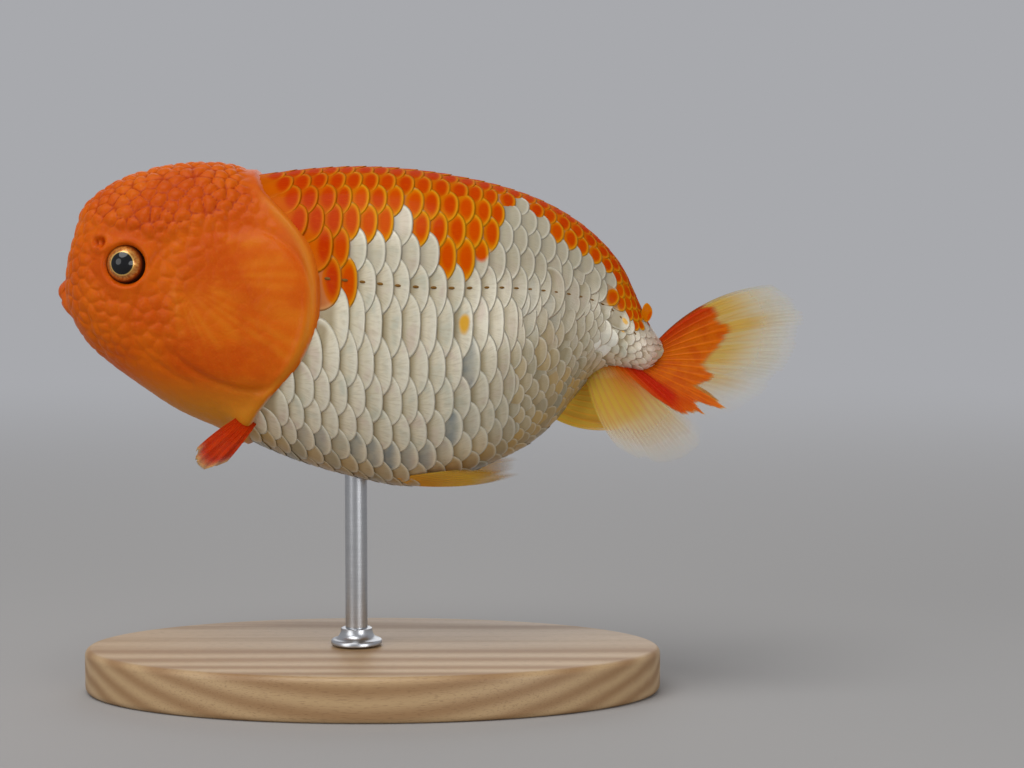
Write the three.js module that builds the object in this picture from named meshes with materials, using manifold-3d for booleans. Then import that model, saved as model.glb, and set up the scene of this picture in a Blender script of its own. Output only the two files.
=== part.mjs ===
// A life-size ranchu goldfish on a plain display stand.
// Millimetres. +X runs from the snout to the tail, +Y to the fish's right, +Z up.
// The origin is the centre of the stand's underside.
import * as THREE from "three";
import { mergeVertices } from "three/addons/utils/BufferGeometryUtils.js";
import Module from "manifold-3d";

const wasm = await Module();
wasm.setup();

// ---------------------------------------------------------------- sizes
const GAP = 0.3; // clearance between neighbouring pieces
const WELD = 1e-4; // points closer than this are one
const LEAST_EDGE = 0.03; // shorter edges are what a cut leaves, and are closed up
const ROUND_SIDES = 24; // of a rod, a bore or a collar
const CURVE_STEPS = 5; // of each curved stretch of a side-view outline
const SIDES = { left: -1, right: 1 }; // sign of Y on each side of the fish

const BODY_RINGS = 40;
const END_CROWDING = 0.55; // how much closer the rings lie at the snout and at the tail
const RING_POINTS = 26;
const BELLY_WEIGHT = 0.07; // how much wider the lower half of a section is

// The cut between trunk and tail stem, from the back to the vent, as [x, z].
const STEM_CUT = { back: [34.5, 90], belly: [31.4, 45] };

const EYE_RADIUS = 4.0;
const EYE_CENTRE = { x: -41.6, y: 11.8, z: 77.2 };
const EYE_FACETS = [16, 10]; // round the eye, and from pole to pole
const GILL_COVER_THICKNESS = 1.6;
const GILL_COVER_FROM = 4; // a cover is cut no closer to the middle plane than this
const GILL_ROOM_SWELL = 1.025; // how much larger the opening under a cover is
const HEAD_TO_TRUNK = 0.4; // along X, which leaves the gap across the slanting margin

const FIN_THICKNESS = 0.6;

const BASE = { length: 104, width: 60, height: 8, edge: 1.2, steps: 16 };
const ROD = { radius: 2, x: -3, socket: 6 };
const COLLAR = { height: 3, rim: 0.8, foot: 4.6, neck: 2.8 };
const BELLY_OVER_ROD = 39.0; // height of the underside of the belly there
const ROD_TOP = BELLY_OVER_ROD + ROD.socket;

// Cross-sections from snout to tail root. back and belly are [x, z], half is the half width, and
// full is 1 for an ellipse and less for a squarer section.
const SECTIONS = [
  { at: "lips", back: [-54.0, 75.6], belly: [-54.0, 71.4], half: 3.4, full: 0.86 },
  { at: "muzzle", back: [-53.2, 79.4], belly: [-53.2, 68.0], half: 7.4, full: 0.82 },
  { at: "nostrils", back: [-51.0, 85.6], belly: [-50.2, 63.2], half: 11.2, full: 0.78 },
  { at: "brow", back: [-46.8, 89.8], belly: [-46.1, 59.3], half: 13.6, full: 0.76 },
  { at: "eye", back: [-40.5, 92.7], belly: [-40.7, 55.3], half: 15.2, full: 0.76 },
  { at: "crown", back: [-33.4, 94.1], belly: [-34.2, 51.0], half: 16.2, full: 0.78 },
  { at: "cheek", back: [-27.0, 94.2], belly: [-27.4, 47.9], half: 17.0, full: 0.8 },
  { at: "nape", back: [-21.4, 93.4], belly: [-20.2, 44.6], half: 17.6, full: 0.83 },
  { at: "shoulder", back: [-10.8, 94.5], belly: [-11.7, 41.2], half: 19.0, full: 0.86 },
  { at: "breast", back: [-1.8, 94.9], belly: [-2.7, 38.7], half: 20.3, full: 0.87 },
  { at: "belly", back: [7.2, 94.4], belly: [6.3, 37.1], half: 20.6, full: 0.87 },
  { at: "flank", back: [15.8, 93.1], belly: [14.8, 38.4], half: 19.7, full: 0.87 },
  { at: "loin", back: [23.4, 91.3], belly: [22.5, 41.7], half: 17.4, full: 0.87 },
  { at: "hip", back: [30.6, 88.7], belly: [28.4, 44.8], half: 14.2, full: 0.87 },
  { at: "vent", back: [36.9, 85.1], belly: [33.0, 48.8], half: 11.0, full: 0.87 },
  { at: "stem", back: [41.8, 80.9], belly: [36.2, 52.9], half: 8.5, full: 0.87 },
  { at: "stem_bend", back: [45.1, 76.7], belly: [38.8, 56.0], half: 7.0, full: 0.87 },
  { at: "stem_lower", back: [47.4, 71.9], belly: [41.6, 58.0], half: 6.1, full: 0.87 },
  { at: "tail_set", back: [49.4, 67.5], belly: [45.0, 58.0], half: 5.2, full: 0.87 },
  { at: "tail_root", back: [51.4, 64.3], belly: [48.8, 57.6], half: 4.2, full: 0.87 },
  { at: "tail_end", back: [52.7, 62.6], belly: [51.3, 59.2], half: 2.2, full: 0.87 },
];

// ---------------------------------------------------------------- finishes
const finish = (color, roughness, metalness = 0) =>
  new THREE.MeshStandardMaterial({ color, roughness, metalness });
const ORANGE_SKIN = finish(0xd96a12, 0.5);
const PEARL_SCALES = finish(0xd8cfb8, 0.35);
const EYE_GLOSS = finish(0x2a1a10, 0.1);
const FIN_ORANGE = finish(0xe08a1e, 0.45);
const FIN_PALE = finish(0xe0cf96, 0.45);
const STAND_WOOD = finish(0xc9b08a, 0.6);
const STAND_STEEL = finish(0xb8babd, 0.3, 1);

// ---------------------------------------------------------------- curves
const radians = THREE.MathUtils.degToRad;

// A smooth curve through values given at rising knots.
function through(knots, values, at) {
  const last = knots.length - 1;
  let i = 0;
  while (i < last - 1 && at > knots[i + 1]) i++;
  const slope = (k) => {
    const a = Math.max(k - 1, 0);
    const b = Math.min(k + 1, last);
    return (values[b] - values[a]) / (knots[b] - knots[a]);
  };
  const span = knots[i + 1] - knots[i];
  const u = (at - knots[i]) / span;
  const u2 = u * u;
  const u3 = u2 * u;
  return (
    (2 * u3 - 3 * u2 + 1) * values[i] +
    (u3 - 2 * u2 + u) * span * slope(i) +
    (3 * u2 - 2 * u3) * values[i + 1] +
    (u3 - u2) * span * slope(i + 1)
  );
}

// The distance of each section along the body's middle line.
const ALONG = [0];
for (let i = 1; i < SECTIONS.length; i++) {
  const middle = (s) => [(s.back[0] + s.belly[0]) / 2, (s.back[1] + s.belly[1]) / 2];
  const [ax, az] = middle(SECTIONS[i - 1]);
  const [bx, bz] = middle(SECTIONS[i]);
  ALONG.push(ALONG[i - 1] + Math.hypot(bx - ax, bz - az));
}
const BODY_LENGTH = ALONG[ALONG.length - 1];
const COLUMNS = {
  backX: SECTIONS.map((s) => s.back[0]),
  backZ: SECTIONS.map((s) => s.back[1]),
  bellyX: SECTIONS.map((s) => s.belly[0]),
  bellyZ: SECTIONS.map((s) => s.belly[1]),
  half: SECTIONS.map((s) => s.half),
  full: SECTIONS.map((s) => s.full),
};

// A point of the body: along in mm, turn in radians from the back over the right side to the belly.
function bodyPoint(along, turn, grow = 0) {
  const value = (name) => through(ALONG, COLUMNS[name], along);
  const [backX, backZ, bellyX, bellyZ] = ["backX", "backZ", "bellyX", "bellyZ"].map(value);
  const upX = (backX - bellyX) / 2;
  const upZ = (backZ - bellyZ) / 2;
  const tall = Math.hypot(upX, upZ);
  const swell = (wave) => Math.sign(wave) * Math.abs(wave) ** value("full");
  const rise = swell(Math.cos(turn));
  const out = swell(Math.sin(turn));
  const lift = rise * (1 + grow / tall);
  return new THREE.Vector3(
    (backX + bellyX) / 2 + upX * lift,
    out * (value("half") * (1 - BELLY_WEIGHT * rise) + grow),
    (backZ + bellyZ) / 2 + upZ * lift,
  );
}

// ---------------------------------------------------------------- solids
function solidOf(geometry) {
  const bare = geometry.clone();
  bare.deleteAttribute("normal");
  bare.deleteAttribute("uv");
  const merged = mergeVertices(bare, WELD);
  return new wasm.Manifold(
    new wasm.Mesh({
      numProp: 3,
      vertProperties: merged.attributes.position.array,
      triVerts: new Uint32Array(merged.index.array),
    }),
  );
}

const centreOf = (ring) =>
  ring.reduce((sum, p) => sum.add(p), new THREE.Vector3()).divideScalar(ring.length);

// An end closed by a fan from its middle, for a round ring.
function fanCap(ring, first, points) {
  points.push(centreOf(ring));
  return ring.map((_, k) => [points.length - 1, first + k, first + ((k + 1) % ring.length)]);
}

// An end closed by rungs between its two long sides, for a thin ring.
function ladderCap(ring, first) {
  const faces = [];
  for (let k = 0; k + 1 < ring.length / 2; k++) {
    const [a, b] = [first + k, first + k + 1];
    const [c, d] = [first + ring.length - 2 - k, first + ring.length - 1 - k];
    faces.push([a, b, d], [b, c, d]);
  }
  return faces;
}

// Rings of points, joined in order and closed at each end.
function loft(rings, cap = fanCap) {
  const points = rings.flat();
  const n = rings[0].length;
  const triangles = [];
  for (let r = 0; r + 1 < rings.length; r++) {
    for (let k = 0; k < n; k++) {
      const a = r * n + k;
      const b = r * n + ((k + 1) % n);
      triangles.push(a, a + n, b, b, a + n, b + n);
    }
  }
  const last = rings.length - 1;
  triangles.push(...cap(rings[0], 0, points).flat());
  triangles.push(...cap(rings[last], last * n, points).flatMap((face) => face.reverse()));
  return solidOf(new THREE.BufferGeometry().setFromPoints(points).setIndex(triangles));
}

// The whole body, or a copy of it grown outwards by grow.
function body(grow = 0) {
  const rings = [];
  for (let r = 0; r <= BODY_RINGS; r++) {
    const share = r / BODY_RINGS;
    const crowd = (END_CROWDING * Math.sin(2 * Math.PI * share)) / (2 * Math.PI);
    const along = BODY_LENGTH * (share - crowd);
    const ring = [];
    for (let k = 0; k < RING_POINTS; k++) {
      ring.push(bodyPoint(along, (2 * Math.PI * k) / RING_POINTS, grow));
    }
    rings.push(ring);
  }
  for (const [end, inner] of [[0, 1], [BODY_RINGS, BODY_RINGS - 1]]) {
    const outwards = centreOf(rings[end]).sub(centreOf(rings[inner])).setLength(Math.abs(grow));
    rings[end].forEach((p) => p.addScaledVector(outwards, Math.sign(grow)));
  }
  return loft(rings);
}

// A side-view outline, [x, z], pushed across the body from one Y to another.
function prism(shape, fromY, toY, shift = [0, 0], swell = 1) {
  const geometry = new THREE.ExtrudeGeometry(shape, {
    depth: Math.abs(toY - fromY),
    bevelEnabled: false,
    curveSegments: CURVE_STEPS,
  });
  geometry.rotateX(Math.PI / 2);
  geometry.translate(0, Math.max(fromY, toY), 0);
  geometry.computeBoundingBox();
  const centre = geometry.boundingBox.getCenter(new THREE.Vector3());
  geometry.translate(-centre.x, 0, -centre.z);
  geometry.scale(swell, 1, swell);
  geometry.translate(centre.x + shift[0], 0, centre.z + shift[1]);
  return solidOf(geometry);
}

// The main piece of a cut solid, without the slivers that a cut leaves.
const tidy = (solid) =>
  solid
    .simplify(LEAST_EDGE)
    .decompose()
    .sort((a, b) => b.volume() - a.volume())[0];

const fish = new THREE.Group();
function add(name, solid, material) {
  const { vertProperties, triVerts, numProp, numVert } = solid.getMesh();
  const position = new Float32Array(numVert * 3);
  for (let i = 0; i < numVert; i++) {
    position.set(vertProperties.subarray(i * numProp, i * numProp + 3), i * 3);
  }
  const geometry = new THREE.BufferGeometry()
    .setAttribute("position", new THREE.BufferAttribute(position, 3))
    .setIndex(new THREE.BufferAttribute(triVerts, 1))
    .toNonIndexed();
  geometry.computeVertexNormals();
  const mesh = new THREE.Mesh(geometry, material);
  mesh.name = name;
  fish.add(mesh);
}

// The left piece as given, and the right one as its mirror image.
function addPair(name, left, material) {
  add(`${name}_left`, left, material);
  add(`${name}_right`, left.mirror([0, 1, 0]), material);
}

// ---------------------------------------------------------------- outlines seen from the side
const WIDE = 60; // past the body in front, behind and at the sides
const ABOVE = 110; // past the back

// Everything ahead of the gill openings and the nape.
function headOutline() {
  return new THREE.Shape()
    .moveTo(-WIDE, 0)
    .lineTo(-21.5, 0)
    .lineTo(-21.5, 47)
    .bezierCurveTo(-19.5, 52, -17.5, 53.5, -14.7, 56.7)
    .bezierCurveTo(-8.6, 62, -6.8, 71, -8.8, 77.6)
    .bezierCurveTo(-10, 82.6, -14.5, 85.8, -18.6, 90.2)
    .lineTo(-22.5, ABOVE)
    .lineTo(-WIDE, ABOVE);
}

// The bony lid over the gills, from the cheek to the gill opening.
function gillCoverOutline() {
  return new THREE.Shape()
    .moveTo(-32.6, 77.5)
    .bezierCurveTo(-30, 83.5, -20, 85.5, -14.6, 81)
    .bezierCurveTo(-7.6, 76, -7.4, 62.5, -15.4, 57.2)
    .bezierCurveTo(-19.5, 53.6, -30.5, 57.5, -35.5, 64.5)
    .bezierCurveTo(-37, 67.5, -34.5, 74, -32.6, 77.5);
}

// The soft raspberry-like growth on top of the head.
function crownOutline() {
  return new THREE.Shape()
    .moveTo(-51.8, ABOVE)
    .lineTo(-51.8, 82.6)
    .bezierCurveTo(-47, 83.8, -44, 83.4, -40, 83.6)
    .bezierCurveTo(-34, 84, -28, 85.5, -24.2, 90.5)
    .lineTo(-23.4, ABOVE);
}

// The upper lip and muzzle, in front of the nostrils.
function muzzleOutline() {
  return new THREE.Shape()
    .moveTo(-WIDE, 71.4)
    .lineTo(-50.2, 71.4)
    .bezierCurveTo(-49.2, 75, -50.2, 79, -51.7, 82.2)
    .lineTo(-WIDE, 82.2);
}

// The lower lip and chin, back to the corner of the jaw.
function jawOutline() {
  return new THREE.Shape()
    .moveTo(-WIDE, 71.1)
    .lineTo(-50.0, 71.1)
    .bezierCurveTo(-47, 68.5, -44.5, 64, -42.8, 50)
    .lineTo(-WIDE, 50);
}

// ---------------------------------------------------------------- the head
function ball(radius, side) {
  const sphere = new THREE.SphereGeometry(radius, ...EYE_FACETS);
  sphere.translate(EYE_CENTRE.x, side * EYE_CENTRE.y, EYE_CENTRE.z);
  return solidOf(sphere);
}

function buildHead() {
  let head = body().intersect(prism(headOutline(), -WIDE, WIDE));
  const core = body(-GILL_COVER_THICKNESS);
  const deeperCore = body(-GILL_COVER_THICKNESS - GAP);
  const sockets = Object.values(SIDES).map((side) => ball(EYE_RADIUS + GAP, side));
  const lid = (side, swell) =>
    prism(gillCoverOutline(), side * GILL_COVER_FROM, side * WIDE, [0, 0], swell);
  for (const side of Object.values(SIDES)) {
    head = head.subtract(lid(side, GILL_ROOM_SWELL).subtract(deeperCore));
  }
  const cover = body().intersect(lid(SIDES.left, 1)).subtract(core);
  addPair("gill_cover", tidy(cover), ORANGE_SKIN);
  addPair("eye", ball(EYE_RADIUS, SIDES.left), EYE_GLOSS);
  const open = (solid) => sockets.reduce((left, socket) => left.subtract(socket), solid);
  const parts = [
    ["crown_growth", crownOutline(), [0, -GAP]],
    ["muzzle", muzzleOutline(), [GAP, 0]],
    ["lower_jaw", jawOutline(), [GAP, 0]],
  ];
  for (const [name, outline, shift] of parts) {
    add(name, tidy(open(head.intersect(prism(outline, -WIDE, WIDE)))), ORANGE_SKIN);
    head = head
      .subtract(prism(outline, -WIDE, WIDE, shift))
      .subtract(prism(outline, -WIDE, WIDE));
  }
  add("head", tidy(open(head)), ORANGE_SKIN);
}

// ---------------------------------------------------------------- the trunk and the tail stem
function rodCylinder(radius, fromZ, toZ) {
  const cylinder = new THREE.CylinderGeometry(radius, radius, toZ - fromZ, ROUND_SIDES);
  cylinder.rotateX(Math.PI / 2);
  cylinder.translate(ROD.x, 0, (fromZ + toZ) / 2);
  return solidOf(cylinder);
}

// Everything behind a slanting cut from the back to the vent.
function stemOutline() {
  return new THREE.Shape()
    .moveTo(...STEM_CUT.back)
    .lineTo(...STEM_CUT.belly)
    .lineTo(WIDE, STEM_CUT.belly[1])
    .lineTo(WIDE, STEM_CUT.back[1]);
}

function buildTrunk() {
  const behindHead = body().subtract(prism(headOutline(), -WIDE, WIDE, [HEAD_TO_TRUNK, 0]));
  const trunk = behindHead
    .subtract(prism(stemOutline(), -WIDE, WIDE, [-GAP, 0]))
    .subtract(rodCylinder(ROD.radius + GAP, 0, ROD_TOP + GAP));
  add("trunk", tidy(trunk), PEARL_SCALES);
  add("tail_stem", tidy(body().intersect(prism(stemOutline(), -WIDE, WIDE))), PEARL_SCALES);
}

// ---------------------------------------------------------------- fins
// A fin is a fan of rays. Each list runs from the leading ray to the last one:
// root [x, y, z], pitch and bend in degrees from +X towards +Z, flare in degrees away from the
// body's middle plane, and reach in mm. pitch is the mean along the ray, and bend is its change.
const FINS = {
  tail_fin_upper: {
    root: [[52.0, 0.9, 64.0], [52.7, 1.5, 61.7], [51.3, 2.2, 59.2], [48.7, 3.0, 58.2]],
    pitch: [24.5, 16, 2, -13, -30],
    bend: [-42, -24, -9, -2, 4],
    flare: [8, 10, 13, 17, 21],
    reach: [22.6, 25.2, 23.6, 20.2, 17.2],
    material: FIN_ORANGE,
  },
  tail_fin_lower: {
    root: [[48.1, 3.1, 58.1], [44.6, 3.6, 58.3], [41.2, 3.9, 58.6], [38.4, 3.4, 57.2]],
    pitch: [-40, -45, -53, -60, -66],
    bend: [-5, 0, 6, 16, 34],
    flare: [23, 26, 31, 35, 38],
    reach: [15.4, 20.0, 22.2, 21.8, 17.2],
    material: FIN_PALE,
  },
  anal_fin: {
    root: [[32.6, 1.0, 49.4], [34.6, 1.1, 51.8], [36.4, 1.2, 54.2], [38.0, 1.2, 56.2]],
    pitch: [-8, -6, -3, 0, 4],
    bend: [40, 30, 20, 10, 4],
    flare: [9, 10, 11, 12, 12],
    reach: [12.4, 14.6, 13.6, 11.4, 8.4],
    material: FIN_ORANGE,
  },
  pelvic_fin: {
    root: [[6.0, 9.2, 39.0], [7.0, 7.6, 38.4], [8.0, 6.0, 37.9], [9.0, 4.4, 37.6]],
    pitch: [10, 8, 6, 4.5, 3],
    bend: [4, 6, 9, 12, 15],
    flare: [12, 10, 7, 4, 1],
    reach: [17.6, 19.6, 19.6, 18.0, 15.0],
    material: FIN_ORANGE,
  },
  pectoral_fin: {
    root: [[-21.8, 12.8, 51.2], [-21.0, 12.8, 50.7], [-20.1, 12.7, 50.2], [-19.2, 12.6, 49.7]],
    pitch: [-143, -139, -134, -130, -126],
    bend: [14, 8, 2, -2, -6],
    flare: [36, 38, 40, 40, 38],
    reach: [11.0, 13.4, 14.2, 12.8, 10.0],
    material: FIN_ORANGE,
  },
};
const RAYS_ACROSS = 8;
const STEPS_ALONG = 5;
const FIN_ROOT_INSIDE = 1.2; // how far a fin starts inside the body before it is cut

const spread = (list) => list.map((_, i) => i / (list.length - 1));
const onList = (list, at) => through(spread(list), list, at);

function finPoint(fin, side, across, along) {
  const root = [0, 1, 2].map((axis) => onList(fin.root.map((p) => p[axis]), across));
  const bend = radians(onList(fin.bend, across));
  const start = radians(onList(fin.pitch, across)) - bend / 2;
  const flare = radians(onList(fin.flare, across));
  const distance = along * onList(fin.reach, across) - FIN_ROOT_INSIDE * (1 - along);
  const share = distance / onList(fin.reach, across);
  const middle = start + (bend * share) / 2;
  return new THREE.Vector3(
    root[0] + Math.cos(flare) * Math.cos(middle) * distance,
    side * (root[1] + Math.sin(flare) * distance),
    root[2] + Math.cos(flare) * Math.sin(middle) * distance,
  );
}

// A thin solid with the fan as its middle surface.
function finSolid(fin, side) {
  const at = (i, j) => finPoint(fin, side, i / RAYS_ACROSS, j / STEPS_ALONG);
  const faces = [1, -1].map((face) => (i, j) => {
    const alongRay = at(i, Math.min(j + 1, STEPS_ALONG)).sub(at(i, Math.max(j - 1, 0)));
    const acrossRays = at(Math.min(i + 1, RAYS_ACROSS), j).sub(at(Math.max(i - 1, 0), j));
    const normal = acrossRays.cross(alongRay).normalize();
    return at(i, j).addScaledVector(normal, (face * FIN_THICKNESS) / 2);
  });
  const rings = [];
  for (let j = 0; j <= STEPS_ALONG; j++) {
    const ring = [];
    for (let i = 0; i <= RAYS_ACROSS; i++) ring.push(faces[0](i, j));
    for (let i = RAYS_ACROSS; i >= 0; i--) ring.push(faces[1](i, j));
    rings.push(ring);
  }
  const made = loft(rings, ladderCap);
  return made.volume() > 0 ? made : loft(rings.reverse(), ladderCap);
}

function buildFins() {
  const room = body(GAP);
  for (const [name, fin] of Object.entries(FINS)) {
    addPair(name, tidy(finSolid(fin, SIDES.left).subtract(room)), fin.material);
  }
}

// ---------------------------------------------------------------- the stand
function buildStand() {
  const plate = new THREE.Shape().absellipse(
    0,
    0,
    BASE.length / 2 - BASE.edge,
    BASE.width / 2 - BASE.edge,
    0,
    2 * Math.PI,
  );
  const slab = new THREE.ExtrudeGeometry(plate, {
    depth: BASE.height - 2 * BASE.edge,
    bevelThickness: BASE.edge,
    bevelSize: BASE.edge,
    bevelSegments: 2,
    curveSegments: BASE.steps,
  });
  slab.translate(0, 0, BASE.edge);
  const bore = rodCylinder(ROD.radius + GAP, BASE.height / 2 - GAP, BASE.height + 1);
  add("stand_base", solidOf(slab).subtract(bore), STAND_WOOD);
  add("stand_rod", rodCylinder(ROD.radius, BASE.height / 2, ROD_TOP), STAND_STEEL);

  const profile = [
    [ROD.radius + GAP, 0],
    [COLLAR.foot, 0],
    [COLLAR.foot, COLLAR.rim],
    [COLLAR.neck, COLLAR.height],
    [ROD.radius + GAP, COLLAR.height],
    [ROD.radius + GAP, 0],
  ].map(([x, y]) => new THREE.Vector2(x, y));
  const collar = new THREE.LatheGeometry(profile, ROUND_SIDES);
  collar.rotateX(Math.PI / 2);
  collar.translate(ROD.x, 0, BASE.height + GAP);
  add("stand_collar", solidOf(collar), STAND_STEEL);
}

buildHead();
buildTrunk();
buildFins();
buildStand();

export default fish;
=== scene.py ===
# %% [markdown]
# # A ranchu goldfish on its display stand
# The model is a fat little body under a coat of scales, a bare head with a soft growth on it, eight
# fins and two eyes, on a rod in an oval wooden base. The solids in the frame give its size and
# outline. This script builds the fine surfaces over them: one skin for all the flesh, nearly nine
# hundred scales, fins with branching rays, glass eyes, and a finished stand.

# %% Load the solids
import math

import bpy
import numpy as np
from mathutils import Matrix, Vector


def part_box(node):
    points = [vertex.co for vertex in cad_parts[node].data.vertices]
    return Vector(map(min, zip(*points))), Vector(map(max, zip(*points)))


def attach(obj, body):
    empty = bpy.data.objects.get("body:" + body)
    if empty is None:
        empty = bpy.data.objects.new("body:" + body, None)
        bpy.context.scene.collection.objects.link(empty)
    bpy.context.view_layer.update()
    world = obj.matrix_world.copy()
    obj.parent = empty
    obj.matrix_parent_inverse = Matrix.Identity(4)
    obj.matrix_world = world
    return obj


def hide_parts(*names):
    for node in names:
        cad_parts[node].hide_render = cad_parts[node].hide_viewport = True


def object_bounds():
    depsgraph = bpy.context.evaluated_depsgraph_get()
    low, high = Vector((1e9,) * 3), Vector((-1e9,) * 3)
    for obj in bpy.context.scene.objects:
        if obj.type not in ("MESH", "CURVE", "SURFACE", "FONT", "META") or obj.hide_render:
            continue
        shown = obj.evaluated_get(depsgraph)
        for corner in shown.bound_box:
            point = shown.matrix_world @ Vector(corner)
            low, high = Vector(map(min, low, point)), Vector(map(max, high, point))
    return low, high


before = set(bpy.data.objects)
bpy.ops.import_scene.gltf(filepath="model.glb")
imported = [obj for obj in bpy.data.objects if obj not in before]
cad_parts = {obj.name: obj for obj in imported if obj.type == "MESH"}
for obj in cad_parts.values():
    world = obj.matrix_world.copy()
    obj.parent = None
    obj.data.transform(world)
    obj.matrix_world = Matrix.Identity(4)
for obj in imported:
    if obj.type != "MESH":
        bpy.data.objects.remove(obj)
cad_low, cad_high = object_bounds()
MM = 0.001  # the shapes below are worked out in millimetres, and Blender takes metres
print("solids:", len(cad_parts), "box in mm:", [round(v / MM, 1) for v in cad_high - cad_low])

# %% [markdown]
# ## Camera
# The fish is seen from its left side and a touch from above. A camera could be moved by hand until
# the view fits. Here it looks at a point that is a share of the way through the solids' box, from a
# distance that fits a chosen width into the view, so it is worked out from the model. A long lens
# shows the near and far fins at almost one scale, which keeps the outline true.

# %% Camera
VIEW_WIDTH = 0.1843
LENS, SENSOR = 80, 36
CAMERA_RISE = math.radians(4)
LOOK_AT = (0.606, 0.5, 0.585)

look_at = Vector(low + (high - low) * share for low, high, share in zip(cad_low, cad_high, LOOK_AT))
backwards = Vector((0, -math.cos(CAMERA_RISE), math.sin(CAMERA_RISE)))
camera = bpy.data.objects.new("camera", bpy.data.cameras.new("camera"))
camera.data.lens, camera.data.sensor_width = LENS, SENSOR
camera.location = look_at + backwards * (VIEW_WIDTH * LENS / SENSOR)
camera.rotation_mode = "QUATERNION"
camera.rotation_quaternion = (-backwards).to_track_quat("-Z", "Y")
bpy.context.scene.collection.objects.link(camera)
bpy.context.scene.camera = camera
print("camera at", [round(v, 3) for v in camera.location])

# %% [markdown]
# ## Shader maths
# A material is a net of nodes. Written by hand it takes a line for every link, so arithmetic does
# that work here. A `Value` wraps the output of a node, and each sum or product of values adds the
# Math node for it. A soft step is used so often that it gets a method of its own.


# %% Values
class Value:
    """An output of a shader node. Arithmetic on it adds Math nodes."""

    def __init__(self, finish, socket):
        self.finish, self.socket = finish, socket

    def maths(self, operation, *others):
        """One Math node on this value and what follows it."""
        return self.finish.node("Math", {"operation": operation}, dict(enumerate((self, *others))))

    def __add__(self, other):
        return self.maths("ADD", other)

    def __sub__(self, other):
        return self.maths("SUBTRACT", other)

    def __rsub__(self, other):
        return self.finish.node("Math", {"operation": "SUBTRACT"}, {0: other, 1: self})

    def __mul__(self, other):
        return self.maths("MULTIPLY", other)

    def __truediv__(self, other):
        return self.maths("DIVIDE", other)

    def __pow__(self, other):
        return self.maths("POWER", other)

    __radd__ = __add__
    __rmul__ = __mul__

    def ramp(self, start, end, low=0.0, high=1.0):
        """Low before start, high after end, and a smooth step between them."""
        limits = {"Value": self, "From Min": start, "From Max": end, "To Min": low, "To Max": high}
        return self.finish.node("MapRange", {"interpolation_type": "SMOOTHSTEP"}, limits)


print("a value knows", ", ".join(name for name in vars(Value) if name[0] != "_"))

# %% [markdown]
# ## Finishes
# `Finish` is a material with one method that adds any node: its kind, its settings, then what goes
# into its sockets. Colours are mixed with Mix nodes, because a Math node would turn them grey.
# `layers` works as a painter does: a ground colour, then coats over it, each laid on by its share.


# %% Finishes
def srgb(red, green, blue):
    """A colour in a screen's numbers, 0 to 255, turned into the linear numbers of a shader."""
    parts = (v / 255 for v in (red, green, blue))
    return (*(v / 12.92 if v < 0.0404 else ((v + 0.055) / 1.055) ** 2.4 for v in parts), 1.0)


class Finish:
    """The nodes of a new material, or of the world if that is its owner."""

    def __init__(self, name, owner=None, **constants):
        self.owner = owner or bpy.data.materials.new(name)
        self.owner.use_nodes = True
        self.tree = self.owner.node_tree
        self.shader = self.tree.nodes["Background" if owner else "Principled BSDF"]
        self.surface(**constants)

    def node(self, kind, settings=None, inputs=None, output=0):
        """Adds a node, sets it up, feeds its sockets with numbers or links, and wraps an output."""
        made = self.tree.nodes.new("ShaderNode" + kind)
        for name, setting in (settings or {}).items():
            setattr(made, name, setting)
        for name, value in (inputs or {}).items():
            self.feed(made.inputs[name], value)
        return Value(self, made.outputs[output])

    def feed(self, socket, value):
        if isinstance(value, Value):
            self.tree.links.new(value.socket, socket)
        else:
            socket.default_value = value

    def surface(self, **inputs):
        """Feeds the shader."""
        for name, value in inputs.items():
            self.feed(self.shader.inputs[name.replace("_", " ")], value)

    def layers(self, ground, *coats):
        """A ground colour with coats of (share, colour) over it. A colour is mixed or three numbers."""
        for share, coat in coats:
            pair = [c if isinstance(c, Value) else srgb(*c) for c in (ground, coat)]
            ground = self.node("Mix", {"data_type": "RGBA"}, {0: share, 6: pair[0], 7: pair[1]}, 2)
        return ground

    def carried(self, name):
        """Three numbers that the mesh carries at its points."""
        vector = self.node("Attribute", {"attribute_name": name}, output="Vector")
        return [self.node("SeparateXYZ", None, {0: vector}, axis) for axis in "XYZ"]

    def place(self):
        """Where a point is on the object, in millimetres."""
        metres = self.node("TexCoord", output="Object")
        return self.node("VectorMath", {"operation": "SCALE"}, {0: metres, "Scale": 1 / MM})

    def stretched(self, vector, *factors):
        """A vector with each of its parts multiplied by a factor of its own."""
        return self.node("VectorMath", {"operation": "MULTIPLY"}, {0: vector, 1: factors})

    def joined(self, x, y, z):
        """A vector from three numbers."""
        return self.node("CombineXYZ", None, {0: x, 1: y, 2: z})

    def noise(self, vector, scale, detail=2.0, roughness=0.5):
        limits = {"Vector": vector, "Scale": scale, "Detail": detail, "Roughness": roughness}
        return self.node("TexNoise", None, limits)

    def bump(self, height, distance, strength=1.0):
        """A surface normal tilted by a height, which is a share of distance in metres."""
        return self.node("Bump", None, {"Height": height, "Distance": distance, "Strength": strength})

    def report(self):
        print(self.owner.name, "has", len(self.tree.nodes), "nodes")


print("half grey in a shader is", round(srgb(128, 128, 128)[0], 3))

# %% [markdown]
# ## The room
# A real model would stand on a pale table under soft light. The backdrop could be a curved sheet, as
# in a studio, but that has a front and a back. A wide flat disc serves every side: it takes the
# shadow, and far out it turns into the same plain tone as the background, so that no horizon shows.
# The background looks the same in a mirror as to the eye, but as a lamp it is weaker.

# %% Floor and background
ROOM_TONE = srgb(168, 169, 173)
FLOOR_TONE = srgb(170, 168, 166)
FLOOR_RADIUS = 3.0
FADE = (0.08, 0.85)  # where the floor turns into the background, from the middle
WORLD_STRENGTH = 0.66


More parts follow.
